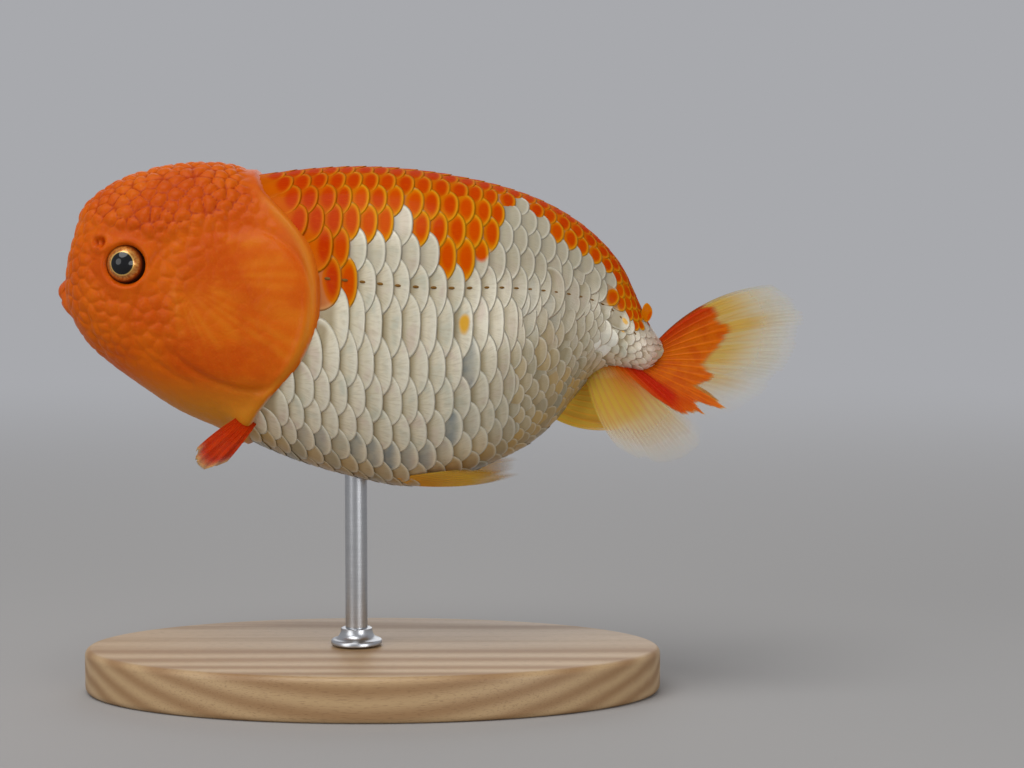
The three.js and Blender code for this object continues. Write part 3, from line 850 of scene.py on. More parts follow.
# %% [markdown]
# ## One scale
# A scale is a thin oval shell. Its front is tucked into the skin and its back edge stands free over
# the next scales. Bump on the skin could fake the pattern, but not the edges that catch the light.
# The template below is one such shell in its own measure: s runs from the root, -1, to the free edge,
# 1, and b across it. It has a top, a rounded rim and an underside, so it is a solid tile and not a
# painted circle.

# %% The template of a scale
SCALE_SIDES = 30
TOP_RINGS = (0.3, 0.56, 0.78, 0.93)
RIM_RING, UNDER_RINGS = 1.0, (0.96, 0.5)
SQUARENESS = 0.84  # 1 would be an oval, and less is squarer
ring_shares = [*TOP_RINGS, RIM_RING, *UNDER_RINGS]
around = np.linspace(0, 2 * np.pi, SCALE_SIDES, endpoint=False)
unit_ring = np.stack([np.cos(around), np.sin(around)], -1)
template = np.vstack([[(0, 0)], *[unit_ring * share for share in ring_shares], [(0, 0)]])
ring_of = np.hypot(template[:, 0], template[:, 1])[:, None] + 1e-9
template_shape = ring_of * np.sign(template) * np.abs(template / ring_of) ** SQUARENESS
ring_layers = [0] * len(TOP_RINGS) + [0.5] + [1] * len(UNDER_RINGS)  # 0 on top and 1 underneath
template_layer = np.concatenate([[0], np.repeat(ring_layers, SCALE_SIDES), [1]])

scale_faces = []
for k in range(SCALE_SIDES):
    after = (k + 1) % SCALE_SIDES
    scale_faces.append((0, 1 + k, 1 + after))
    for a in range(1, 1 + SCALE_SIDES * (len(ring_shares) - 1), SCALE_SIDES):
        scale_faces.append((a + k, a + SCALE_SIDES + k, a + SCALE_SIDES + after, a + after))
    a += SCALE_SIDES
    scale_faces.append((a + k, len(template) - 1, a + after))
print("triangles in one scale:", sum(len(face) - 2 for face in scale_faces))

# %% [markdown]
# ## The coat
# Laying the scales by hand would take days, and instances of one mesh could not bend to the body. So
# each scale is bent separately: its template is laid out in body coordinates and sent through
# `flesh`. First comes each scale's place: its row, its side and how far along the body it lies.
# Behind the belly the rows are twice as many, because the scales are finer there.

# %% Where each scale goes
FINE_FROM, FINE_TO, FINE_LOW, FINE_HIGH = 80.0, 96.5, -62, 12
FINE_WIDTH, FINE_LENGTH = 0.58, 0.86  # the size of a fine scale, as a share of the others'
HEAD_GAP = 0.35  # the coat starts this many spacings behind the head's edge

places = []
for half_row in range(2 * BELLY_ROW, 2 * BACK_ROW + 1):
    row = half_row / 2
    for j, here in enumerate(column_places):
        fine = FINE_FROM < here < FINE_TO and FINE_LOW < row_height(row) < FINE_HIGH
        if half_row % 2 and not fine:
            continue
        shift = (half_row % 2 if fine else row % 2) / 2
        along = float(np.interp(j + shift, np.arange(len(column_places)), column_places))
        both = (-1,) if row in (BELLY_ROW, BACK_ROW) else (-1, 1)
        places += [(row, side, along, fine) for side in both]
rows, sides, alongs, is_fine = np.array(places, float).T
turns = sides * np.radians(90 - np.array([row_height(row) for row in rows]))
row_steps = np.radians([abs(row_height(row + 1) - row_height(row - 1)) / 2 for row in rows])
row_steps *= np.where(is_fine, FINE_WIDTH, 1)
keep = (alongs < LAST_SCALE) & (behind_head(flesh(alongs, turns)) > HEAD_GAP * SPACING)
kept = np.array([rows, sides, alongs, turns, row_steps, is_fine])[:, keep]
rows, sides, alongs, turns, row_steps, is_fine = kept
count = len(rows)
print("scales:", count)

# %% [markdown]
# ## Small differences
# Rows that are perfectly even look like a printed pattern, and no two real scales match. Each gets
# small seeded differences in place, size and lift, so they are the same in every run. They grow
# towards the tail stem, where the coat is rumpled, and fade on the smooth back. Two scales that were
# once knocked loose stand up.

# %% Small differences between the scales
SET_BACK = 0.9  # a scale's middle lies this many spacings ahead of the part that shows
HALF_LENGTH, ROW_COVER = 1.4, 0.9
SHOWN_MIDDLE = SET_BACK / HALF_LENGTH  # the middle of the part that shows, in the scale's own measure
# along, height, lift, lift of the upper edge, and how much longer and wider than their neighbours
RAISED = [(105.0, 62.0, 1.6, 1.25, 0.42, 0.8), (99.3, 13.0, 1.6, 0.0, 1.1, 1.1)]
DEGREES_EACH_MM, FAR = 5, 99  # to find a scale: degrees round the flank to a mm, and the other flank

on_flank = height_on_flank(turns)
size = spacing(alongs)
rumpled = smooth(alongs, 76, 90) * smooth(on_flank, 34, 22) * (1 - 0.4 * smooth(alongs, 98, 104))
wobble = rng.normal(size=(5, count))
wobble[[0, 1, 3]] = np.clip(wobble[[0, 1, 3]], -2, 2)
wobble[4] = np.clip(wobble[4], -1.5, 2)
middles = alongs - SET_BACK * size + size * wobble[0] * (0.035 + 0.08 * rumpled)
middle_turns = turns + row_steps * wobble[1] * (0.03 + 0.08 * rumpled)
lengths = HALF_LENGTH * size * np.where(is_fine, FINE_LENGTH, 1) * (1 + wobble[2] * (0.02 + 0.05 * rumpled))
widths = ROW_COVER * row_steps * (1 + 0.1 * rumpled + wobble[3] * (0.02 + 0.05 * rumpled))
lifts = (1 + wobble[4] * (0.05 + 0.22 * rumpled)) * (1 - 0.5 * smooth(on_flank, 40, 80))
twists = rng.normal(size=count) * (0.02 + 0.08 * rumpled)
tones = rng.random(count)
heels = np.zeros(count)


def nearest_scale(along, height):
    """The scale of the left flank that lies closest to a place on it."""
    return np.argmin(np.hypot(alongs - along, (on_flank - height) / DEGREES_EACH_MM) + FAR * (sides > 0))


for along, height, lift, heel, longer, wider in RAISED:
    raised = nearest_scale(along, height)
    lifts[raised], heels[raised] = lift, heel
    lengths[raised] *= longer
    widths[raised] *= wider
print("raised scales:", len(RAISED), "mean length", round(float(2 * lengths.mean()), 2), "mm")

# %% [markdown]
# ## Colour of each scale
# Each scale is orange or white as a whole, by the line of the markings at its root. A mask over the
# whole flank would cut through scales, which real pigment seldom does. An orange scale whose
# neighbours are white keeps a white edge. A few single scales differ: one is orange only in its upper
# half, and three carry a spot. Grey and warm parts come from the patches, and so do bright spots of
# painted highlight on the tail stem.

# %% Colour of each scale
SPOTTED = [(71.9, 2.0), (99.2, 11.0), (100.9, 3.0)]  # each place: along, height
LONE_ORANGE = (105.0, 66.0)  # the raised scale that is orange on a pale stem
HALF_ORANGE = (75.4, 25.0)
NEIGHBOURS = [(0.5, 1), (-0.5, 1), (0.5, -1), (-0.5, -1), (1, 0), (-1, 0)]  # in spacings and rows

scale_orange = is_orange(alongs, turns)
shares = [is_orange(alongs + size * a, turns + row_steps * b) for a, b in NEIGHBOURS]
rim_orange = np.where(scale_orange > 0, np.mean(shares, axis=0) ** 1.5, 0)
scale_orange[nearest_scale(*LONE_ORANGE)] = rim_orange[nearest_scale(*LONE_ORANGE)] = 1
spots, cuts = np.zeros(count), np.zeros(count)
spots[[nearest_scale(*spot) for spot in SPOTTED]] = 1
cuts[nearest_scale(*HALF_ORANGE)] = 1
scale_grey = patches(GREY_PATCHES, alongs, turns) * (0.55 + 0.75 * tones)
scale_painted_glint = patches(PAINTED_GLINT_PATCHES, alongs, turns) * (0.4 + tones)
blushes = smooth(alongs, 101, 107) * (1 - scale_orange)
print("orange scales:", int(scale_orange.sum()))

# %% [markdown]
# ## Bending the scales
# Every point of a scale gets a distance along the body, a turn round it and a height over it. The
# height rises from the root, which is sunk in, to the free edge, with a low dome across. `flesh` then
# bends it all, where a shrinkwrap modifier would press the scales flat. One mesh holds a whole side's
# scales, because nine hundred objects would be slow to handle. On the map for baking each is a small
# patch at its root's place on the unrolled body, and its points carry its colours.

# %% Bend the scales onto the body
TILT, SINK = 0.175, 0.04  # rise from root to free edge, and how deep the root lies, in spacings
RISE_POWER = 1.15
DOME, THICKNESS = 0.042, 0.03
THICKER_MIDDLE, THINNER_RIM = 1.2, 0.7
BAKE_PATCH = 0.003  # how wide each scale is on the map


def lay_scales(chosen):
    """Points of the chosen scales in mm, one row of template points for each."""
    s, b = template_shape.T[:, None]
    table = (middles, middle_turns, lengths, widths, lifts, heels, twists, size)
    middle, middle_turn, length, width, lift, heel, twist, pitch = (v[chosen][:, None] for v in table)
    along = middle + length * s - twist * length * b
    turn = middle_turn + width * (b + twist * s)
    shown = np.clip(0.5 * (s + 1), 0, 1)
    height = TILT * lift * shown**RISE_POWER - SINK + DOME * (1 - b**2) * shown
    height += heel * 0.5 * (1 + b)
    height -= THICKNESS * template_layer * (THICKER_MIDDLE - THINNER_RIM * np.hypot(s, b))
    return flesh(along, turn, pitch * height - coat_depth(np.clip(along, 0, BODY_LENGTH)))


def scale_piece(name, chosen, finish):
    """The chosen scales as one mesh."""
    points = lay_scales(chosen)
    offsets = np.arange(len(points)) * len(template)
    faces = [tuple(v + offset for v in face) for offset in offsets for face in scale_faces]
    roots = [0.01 + 0.98 * alongs[chosen] / BODY_LENGTH, 0.5 + 0.48 * turns[chosen] / np.pi]
    point_map = np.stack(roots, -1)[:, None] + BAKE_PATCH / 2 * template

    def spread(*scale_values):
        """A number of each scale, at all its points."""
        columns = [np.repeat(values[chosen], len(template)) for values in scale_values]
        return np.stack(columns, -1)

    make_piece(
        name, "scales", [], points.reshape(-1, 3), faces, finish,
        point_map.reshape(-1, 2)[np.concatenate(faces)],
        scale_place=np.hstack([np.tile(template, (len(points), 1)), spread(tones)]),
        scale_paint=spread(scale_orange, rim_orange, spots),
        scale_tint=spread(warmth(alongs, turns), scale_grey, scale_painted_glint),
        scale_where=spread(blushes - cuts, alongs / BODY_LENGTH, on_flank / 90),
    )


print("the coat is", round(float(coat_depth(50)), 2), "mm deep on the trunk")

# %% [markdown]
# ## The finish of the scales
# A white scale shines like mother of pearl, because small flat crystals lie under it, and fine grooves
# fan out from its middle. Its free edge is clear and painted brighter, as a painted highlight, and its
# root greyer, as painted shade under the scale before it. An orange one has the same build with
# pigment in it, deepest in the middle and yellow towards the edge, with the same painted shade at its
# root. A pattern laid over the whole body could not know where a scale's edge is, so all this is
# painted in the scale's own coordinates.

# %% Patterns on a scale
scale_finish = Finish(
    "scale_pearl", Specular_IOR_Level=0.0, Coat_Roughness=0.16,
    Subsurface_Weight=0.12, Subsurface_Scale=0.0006, Subsurface_Radius=(1.0, 0.7, 0.4),
)
s, b, tone = scale_finish.carried("scale_place")
orange, rim, spotted = scale_finish.carried("scale_paint")
warm, grey, painted_glint = scale_finish.carried("scale_tint")
blush, share_along, share_up = scale_finish.carried("scale_where")


def squares(a, b):
    return a * a + b * b


from_middle = squares((s - SHOWN_MIDDLE + 0.03) / 0.4, b / 0.78) ** 0.5
from_root = squares(s, b) ** 0.5
# the band round a scale's edge: painted highlight on white scales, pink tint near the tail, golden line on
# orange
rim_tint_and_highlight = from_root.ramp(0.8, 0.98)
# root: painted shade where a scale runs under the free edge of the one before it
root = s.ramp(0.58, 0.22)
fan = (b * 1.3).maths("ARCTAN2", s + 0.75)
grooves = scale_finish.noise(scale_finish.joined(fan * 9, s * 1.1, tone * 90), 2.2, 2.0, 0.6)
growth_lines = scale_finish.noise(scale_finish.joined(from_root * 9, tone * 55, fan * 0.6), 2.0)
place = scale_finish.place()
cloud = scale_finish.noise(place, 0.4, 3.0)
shimmer = scale_finish.noise(place, 0.23)
scale_finish.report()

# %% [markdown]
# ## Pearl and pigment
# The tints of the coat change with the place as well as with the scale: roots darkened as painted
# shade, tan and grey scales low on the body, a pink blush near the tail, bright painted glints on the
# tail stem, redder orange on the back and towards the head.
# Several materials could share this work, but their borders would show. One material does it all.
# Each list below is a painter's recipe, from the ground to the last coat.

# %% Scale material
towards_tail = share_along.ramp(0.65, 0.76) * share_along.ramp(0.93, 0.87)
odd = (tone * 7).maths("FRACT")
# the colour of that painted shade: warm brown low down, greyer higher up the flank
root_shade_colour = scale_finish.layers((146, 128, 92), (share_up.ramp(0.1, 0.4), (150, 142, 134)))
tan = scale_finish.layers((170, 130, 66), (cloud, (196, 162, 102)))
dusky = scale_finish.layers((118, 130, 134), (cloud.ramp(0.4, 0.6), (148, 150, 142)))
pearl = scale_finish.layers(
    (209, 197, 168),
    (tone, (226, 213, 185)),
    # painted highlight: a white scale grows brighter towards its free edge
    (s.ramp(0.42, 1.0, 0.0, 0.62), (236, 230, 212)),
    (shimmer.ramp(0.52, 0.7, 0.0, 0.55), (208, 184, 168)),
    (shimmer.ramp(0.46, 0.3, 0.0, 0.5), (180, 184, 166)),
    (grooves.ramp(0.4, 0.75, 0.0, 0.42), (182, 166, 132)),
    # painted shade at the root of a white scale
    (root * 0.8, root_shade_colour),
    (warm * 0.85, tan),
    (share_up.ramp(0.05, 0.35, 0.0, 0.5), (170, 160, 138)),
    (towards_tail * 0.36, (158, 146, 116)),
    (share_up.ramp(-0.55, -0.8, 0.0, 0.4), (136, 118, 84)),
    (warm * odd.ramp(0.5, 0.95, 0.0, 0.6), (198, 156, 78)),
    (warm * odd.ramp(0.45, 0.1, 0.0, 0.55), (134, 142, 132)),
    (grey.ramp(0.1, 0.8, 0.0, 0.85) * s.ramp(0.98, 0.5), dusky),
    (blush.maths("MAXIMUM", 0.0) * (0.2 + 0.4 * rim_tint_and_highlight), (224, 178, 160)),
    # painted highlight: glints on the scales of the tail stem
    (painted_glint.ramp(0.2, 1.0, 0.0, 0.8), (244, 240, 226)),
    # painted highlight: a bright line along the free edge of a white scale
    (rim_tint_and_highlight * (0.5 + 0.3 * grooves - 0.3 * warm), (234, 226, 202)),
)

redder = share_up.ramp(0.42, 0.85, 0.0, 0.85).maths("MAXIMUM", share_along.ramp(0.52, 0.42))
deep = scale_finish.layers((197, 60, 0), (tone, (209, 79, 0)), (redder * 0.75, (184, 42, 0)))
gold = scale_finish.layers((218, 130, 4), (redder * 0.85, (200, 76, 0)))
pigment = scale_finish.layers(
    deep,
    (from_middle.ramp(0.36, 0.98), gold),
    # painted shade at the root of an orange scale
    (root * 0.35, (190, 92, 0)),
    (grooves.ramp(0.45, 0.8, 0.0, 0.2), (216, 104, 0)),
    (rim_tint_and_highlight * (0.7 - 0.4 * redder), (232, 164, 30)),
    (from_middle.ramp(0.84, 1.12) * (1 - rim), pearl),
)
upper_blob = squares((s - SHOWN_MIDDLE) / 0.46, (b - 0.38) / 0.54)
lower_half = blush.ramp(-0.2, -0.8) * upper_blob.ramp(0.6, 1.3)
spot = squares((s - SHOWN_MIDDLE + 0.03) / 0.21, (b - 0.06) / 0.19)
scale_finish.surface(
    Base_Color=scale_finish.layers(
        pearl,
        (orange * (1 - lower_half), pigment),
        (spot.ramp(1.8, 0.3) * spotted, (226, 166, 44)),
    ),
    Metallic=(1 - orange) * (0.1 + 0.3 * painted_glint),
    Coat_Weight=(1 - orange) * 0.5 + 0.05,
    Roughness=grooves.ramp(0.3, 0.8, 0.28, 0.46),
    Normal=scale_finish.bump(grooves + 0.6 * growth_lines, 0.00006, 0.6),
)
scale_finish.report()

# %% [markdown]
# ## The coat as pieces
# The coat is three pieces: the scales of each flank, and those on the middle lines of the back and
# the belly. One piece would do, but three are easier to use again on another model. They replace no
# solid, because the skin already stands for the flesh under them.

# %% Build the coat
on_middle = (rows == BACK_ROW) | (rows == BELLY_ROW)
scale_piece("scales_left", (sides < 0) & ~on_middle, scale_finish)
scale_piece("scales_right", (sides > 0) & ~on_middle, scale_finish)
scale_piece("scales_ridge", on_middle, scale_finish)

# %% [markdown]
# ## The side line
# Each scale on row 0 is pierced by a short canal through which the fish feels the water. It shows as
# a brown dash. It could be painted on the scale, but a flat brown mark would vanish when the light
# comes from the side. So a dash is a little tube, half sunk in its scale.

# %% Side line canals
CANAL_SIDES, CANAL_RINGS = 10, 7
CANAL_HALF, CANAL_RADIUS = 0.165, 0.085  # in spacings
CANAL_AT = -0.25  # from the middle of the part that shows, in spacings
CANAL_TAPER, CANAL_OUT = 0.85, 0.75  # how narrow its ends are, and how far it stands out
CANAL_END = 104.0
SMALL_TURN = 1e-3
CANAL_SHOWN = 0.5 * (SHOWN_MIDDLE + CANAL_AT / HALF_LENGTH + 1)  # as `shown` in lay_scales


def canal_points(along, turn, pitch):
    """A small bent tube lying on a scale, narrowed at its ends."""
    t = np.linspace(-1, 1, CANAL_RINGS)[:, None]
    angle = np.linspace(0, 2 * np.pi, CANAL_SIDES, endpoint=False)[None]
    radius = CANAL_RADIUS * pitch * np.sqrt(1 - CANAL_TAPER * t**2)
    run = along + pitch * (CANAL_AT + CANAL_HALF * t) + 0 * angle
    moved = np.linalg.norm(flesh(run, turn) - flesh(run, turn + SMALL_TURN), axis=-1)
    sideways = radius * np.cos(angle) / (moved / SMALL_TURN)  # in turns
    top = pitch * (TILT * CANAL_SHOWN**RISE_POWER - SINK + DOME) - coat_depth(run)
    return flesh(run, turn + sideways, top + CANAL_OUT * radius * np.sin(angle))


canal_finish = Finish("side_line_canal", Roughness=0.6, Specular_IOR_Level=0.1)
place = canal_finish.place()
canal_finish.surface(
    Base_Color=canal_finish.layers((96, 64, 24), (canal_finish.noise(place, 1.3), (150, 108, 48))),
    Normal=canal_finish.bump(canal_finish.noise(place, 6.0), 0.00005, 0.5),
)
has_canal = (rows == 0) & (alongs < CANAL_END)
canals = [canal_points(*where) for where in zip(alongs[has_canal], turns[has_canal], size[has_canal])]
tube = grid_faces(CANAL_RINGS, CANAL_SIDES, closed=True)[0].tolist() + end_rings(CANAL_RINGS, CANAL_SIDES)
firsts = [k * CANAL_RINGS * CANAL_SIDES for k in range(len(canals))]
canal_faces = [[first + v for v in face] for first in firsts for face in tube]
make_piece("side_line", "scales", [], np.reshape(canals, (-1, 3)), canal_faces, canal_finish)

# %% [markdown]
# ## Fins
# A fin is a fan of bony rays with thin clear skin between them. It could be a plane cut to an
# outline, but real rays bend, and flare away from the middle. So each fan below gives a few rays by
# their angles and reach. The twin tail is the breed's mark: two halves side by side, each with an
# upper and a lower lobe, held low by the tail stem that turns down.

# %% The fans
# root points, then for each ray: pitch and bend in degrees from +X upwards, flare away from the
# middle, and reach in mm
UPPER = dict(
    root=[(52.0, 0.9, 64.0), (52.7, 1.5, 61.7), (51.3, 2.2, 59.2), (48.7, 3.0, 58.2)],
    pitch=[24.5, 16, 2, -13, -30], bend=[-42, -24, -9, -2, 4], flare=[8, 10, 13, 17, 21],
    reach=[22.6, 25.2, 23.6, 20.2, 17.2],
)
LOWER = dict(
    root=[(48.1, 3.1, 58.1), (44.6, 3.6, 58.3), (41.2, 3.9, 58.6), (38.4, 3.4, 57.2)],
    pitch=[-40, -45, -53, -60, -66], bend=[-5, 0, 6, 16, 34], flare=[23, 26, 31, 35, 38],
    reach=[15.4, 20.0, 22.2, 21.8, 17.2],
)
ANAL = dict(
    root=[(32.6, 1.0, 49.4), (34.6, 1.1, 51.8), (36.4, 1.2, 54.2), (38.0, 1.2, 56.2)],
    pitch=[-8, -6, -3, 0, 4], bend=[40, 30, 20, 10, 4], flare=[9, 10, 11, 12, 12],
    reach=[12.4, 14.6, 13.6, 11.4, 8.4],
)
PELVIC = dict(
    root=[(6.0, 10.6, 39.9), (7.0, 8.8, 39.0), (8.0, 6.6, 38.2), (9.0, 4.4, 37.6)],
    pitch=[9, 8, 6, 4.5, 3], bend=[-6, -2, 4, 10, 14], flare=[26, 18, 10, 4, 1],
    reach=[12.5, 17.5, 19.4, 17.5, 12.0],
)
PECTORAL = dict(
    root=[(-21.8, 12.8, 51.2), (-21.0, 12.8, 50.7), (-20.1, 12.7, 50.2), (-19.2, 12.6, 49.7)],
    pitch=[-143, -139, -134, -130, -126], bend=[14, 8, 2, -2, -6], flare=[36, 38, 40, 40, 38],
    reach=[11.0, 13.4, 14.2, 12.8, 10.0],
)
for name, fan in {"anal": ANAL, "pelvic": PELVIC, "pectoral": PECTORAL}.items():
    print(name, "fin reaches", max(fan["reach"]), "mm")

# %% [markdown]
# ## From fans to points
# The rays between the given ones follow smoothly. The two lobes of a tail half are joined into one
# fan, because two sheets would cross in the cleft between them. Roots begin a little inside the skin,
# and the breast fins' begin deeper in, because their edge would show outside it.

# %% Points of a fan
ROOT_INSIDE = 1.2
DEEP_ROOT = 3.0  # for the breast fins


def on_list(values, at):
    return through(np.linspace(0, 1, len(values)), values, at)


def on_roots(fan, at):
    """Points of a fan's root, from its first ray at 0 to its last at 1."""
    return np.stack([on_list(axis, at) for axis in np.transpose(fan["root"])], -1)


def one_fan(upper, lower):
    """Two neighbouring fans as one."""
    at = np.linspace(0, 1, len(upper["pitch"]))
    made = {key: upper[key] + lower[key] for key in ("pitch", "bend", "flare", "reach")}
    return dict(made, root=np.concatenate([on_roots(fan, at) for fan in (upper, lower)]))


def fan_points(fan, side, across, along, inside):
    """Points of a fan: across from its first ray to its last, and along a ray from root to tip."""
    pitch, bend, flare = (np.radians(on_list(fan[key], across)) for key in ("pitch", "bend", "flare"))
    reach = on_list(fan["reach"], across)
    distance = along * reach - inside * (1 - along)
    pitch = pitch - bend / 2 + bend * distance / reach / 2
    ways = [np.cos(flare) * np.cos(pitch), np.sin(flare), np.cos(flare) * np.sin(pitch)]
    return (on_roots(fan, across) + np.stack(ways, -1) * distance[..., None]) * [1, side, 1]


TAIL = one_fan(UPPER, LOWER)
print("tail rays given:", len(TAIL["pitch"]), "longest", max(TAIL["reach"]), "mm")

# %% [markdown]
# ## Rays
# Each ray leaves the root as one rod, splits in two, and each half splits again. Every branch could
# be a curve with a thickness, but a fin would then be hundreds of them. One formula draws them all:
# within each ray's share of the fan, the distance to the nearest branch gives a ridge, and the
# branches drift apart until they are evenly spaced at the edge.

# %% Rays
SPLITS = [(0.3, 0.75, 0.25), (0.6, 0.98, 0.125)]  # where a split starts and ends, and how far it goes
ROOT_WIDTH, TIP_NARROWER = 0.12, 0.075


def rays(across, along, ray_count):
    """1 on the crest of a ray or branch and 0 on the skin between them."""
    within = (across * ray_count) % 1 - 0.5
    for start, end, apart in SPLITS:
        within = np.abs(within) - apart * smooth(along, start, end)
    return hump(within, 0, ROOT_WIDTH - TIP_NARROWER * smooth(along, 0.1, 0.95))


print("branches of a ray at the edge:", 2 ** len(SPLITS))

# %% [markdown]
# ## Paint on the fins
# The tail is orange-red near the body and turns yellow and then nearly clear towards its edge. The
# colour stops at a ragged line, a little further out on one ray than on the next, and along the cleft
# between the lobes a few red streaks run almost to the edge. A smooth blend from root to edge would
# miss this, so each fin's paint is worked out ray by ray at its points: shares of orange, red and
# yellow, how solid the skin is, and how brown the rays are.

# %% Fin paint
ORANGE_ENDS = {  # how far out the orange goes, from the tail's upper edge to its lower one
    0.0: 0.42, 0.022: 0.49, 0.085: 0.46, 0.125: 0.485, 0.168: 0.50, 0.217: 0.405, 0.263: 0.39,
    0.29: 0.47, 0.315: 0.545, 0.345: 0.55, 0.383: 0.52, 0.395: 0.74, 0.41: 0.91, 0.425: 0.88,
    0.436: 0.74, 0.47: 0.75, 0.485: 0.88, 0.547: 0.88, 0.58: 0.8, 0.623: 0.69, 0.652: 0.465,
    0.67: 0.28, 0.68: 0.15, 0.74: 0.05, 1: 0.0,
}
TAIL_SOLID = {
    0: 0.42, 0.1: 0.4, 0.25: 0.36, 0.33: 0.26, 0.4: 0.1, 0.43: 0.04, 0.6: 0.04, 0.66: 0.3, 0.8: 0.34,
    1: 0.36,
}


def on_table(table, at):
    return np.interp(at, list(table), list(table.values()))


def tail_paint(across, along, jag):
    line = on_table(ORANGE_ENDS, across) + 0.012 * jag
    lower = smooth(across, 0.6, 0.68)
    fading = 0.88 * lower * smooth(across, 0.95, 0.7) * smooth(along, 0.55, 0.05)
    orange = np.maximum(smooth(along, line + 0.03, line - 0.03), fading)
    streaks = 1.15 * hump(across, 0.57, 0.12) * smooth(along, 0.95, 0.45) + 0.8 * hump(across, 0.0, 0.08)
    upper_yellow = (1 - lower) * smooth(along, line + 0.42, line + 0.06) * (0.9 + 0.2 * jag)
    yellow = upper_yellow + lower * smooth(along, 1.0, 0.4)
    solid = on_table(TAIL_SOLID, across) * on_table({0.3: 1.7, 0.6: 1.25, 0.85: 0.6, 1: 0.15}, along)
    solid = np.clip(np.maximum(solid, 0.97 * orange), 0, 1)
    return orange, orange * np.clip(streaks, 0, 1), yellow, solid, 0.55 * lower


def pelvic_paint(across, along, jag):
    yellow = 1.6 - 0.6 * smooth(along, 0.6, 1.0)
    return 0.5 * smooth(along, 0.7, 0.1), 0, yellow, on_table({0: 0.98, 0.55: 0.92, 0.8: 0.5, 1: 0}, along), 0


def anal_paint(across, along, jag):
    pink_line = 0.25 * hump(across, 0.2, 0.05) * smooth(along, 1.0, 0.7)
    solid = on_table({0: 0.98, 0.4: 0.92, 0.8: 0.45, 1: 0.12}, along)
    return 0.06 * smooth(along, 0.9, 0.2), pink_line, 2, solid, 0


def pectoral_paint(across, along, jag):
    orange = smooth(along, 1.05, 0.85)
    return orange, 0.85 * orange, 1, on_table({0: 1, 0.8: 0.95, 1: 0.55}, along), 0


print("the tail's orange goes out to", max(ORANGE_ENDS.values()), "of a ray's length")

# %% [markdown]
# ## The finish of the fins
# A fin is clear skin with a tint, and each ray is a little darker or brighter than the skin beside
# it. It could be made as tinted glass, but glass so thin only blurs what is behind it. Here the share
# that is solid goes to Alpha, so that what lies behind the clear parts shows through them. The paint
# comes from the mesh.

# %% Fin material
fin_finish = Finish(
    "fin_membrane", Specular_IOR_Level=0.05, Coat_Weight=0.02, Coat_Roughness=0.2,
    Subsurface_Weight=0.3, Subsurface_Scale=0.001, Subsurface_Radius=(1.0, 0.5, 0.2),
)
orange, red, yellow = fin_finish.carried("fin_paint")
solid, ray, brown_rays = fin_finish.carried("fin_form")
place = fin_finish.place()
cloud = fin_finish.noise(place, 0.35, 3.0)
fibre = fin_finish.noise(place, 4.5)
clear = fin_finish.layers((212, 204, 172), (ray * 0.8, (188, 162, 122)))
golden = fin_finish.layers((208, 170, 64), (ray * 0.5, (200, 150, 60)))
# the anal and pelvic fins' yellow, partly painted light: paler than their pigment, so they look lit through
yellow_with_painted_light = fin_finish.layers((255, 206, 80), (ray * 0.5, (244, 164, 50)))
golden = fin_finish.layers(golden, (yellow.ramp(1.0, 2.0), yellow_with_painted_light))
warm_orange = fin_finish.layers(
    (194, 80, 0), (cloud.ramp(0.35, 0.65), (206, 98, 0)), (ray * 0.35, (212, 114, 6))
)
fin_finish.surface(
    Base_Color=fin_finish.layers(
        clear,
        (yellow, golden),
        (ray * brown_rays, (184, 124, 80)),
        (orange, warm_orange),
        (red, (180, 30, 0)),
        (fibre.ramp(0.5, 0.75, 0.0, 0.08), (224, 170, 90)),
    ),
    Alpha=(solid * (0.9 + 0.2 * ray)).maths("MINIMUM", 1.0),
    Roughness=fibre.ramp(0.3, 0.7, 0.36, 0.5),
    Normal=fin_finish.bump(fin_finish.noise(place, 5.0), 0.00006, 0.5),
)
fin_finish.report()

# %% [markdown]
# ## The sheet of a fin
# A bent plane with painted rays would look like paper. So the sheet's thickness follows the rays,
# which makes them real ridges on both faces. Its edge is scalloped between the ray tips, and a slow
# wave runs through it, as in a fin that has just moved.

# %% The sheet of a fin
RAY_SAMPLES, SAMPLES_ALONG = 12, 64
CROWDING = 0.35  # how far the samples crowd towards the tips
WEB_HALF, RAY_HALF = 0.06, 0.11  # half the thickness of the skin, and what a ray adds to it, in mm
EDGE_THIN, EDGE_SHARE = 0.25, 0.012  # how thin the outer rays' edges are, and over which share
SCALLOP, RAY_UNEVEN = 0.038, 0.018


def fin_sheet(fan, side, ray_count, uneven, wave, inside):
    """The middle of a fin's sheet, its normals, half its thickness, and where its rays are."""
    across = np.linspace(0, 1, ray_count * RAY_SAMPLES + 1)[None, :]
    share = np.linspace(0, 1, SAMPLES_ALONG)[:, None]
    along = np.sin(share * np.pi / 2) * CROWDING + share * (1 - CROWDING)
    across, along = np.broadcast_arrays(across, along)
    jag = uneven[np.clip(np.floor(across * ray_count), 0, ray_count - 1).astype(int)]
    ray = rays(across, along, ray_count)
    at_edge = rays(across, np.ones_like(along), ray_count)
    ends = along * (1 - SCALLOP * (1 - at_edge) + RAY_UNEVEN * np.clip(jag, -1.5, 1.5))
    middle = fan_points(fan, side, across, ends, inside)
    normal = unit(np.cross(np.gradient(middle, axis=0), np.gradient(middle, axis=1)))
    swing = wave * along**2 * (np.sin(across * 17 + 1.3) + 0.6 * np.sin(across * 31 + 4 * along))
    half = WEB_HALF + RAY_HALF * ray * (1 - 0.65 * along)
    inner = smooth(across, 0, EDGE_SHARE) * smooth(-across, -1, EDGE_SHARE - 1)
    half *= inner * (1 - EDGE_THIN) + EDGE_THIN
    return middle + normal * swing[..., None], normal * half[..., None], across, along, ray, jag


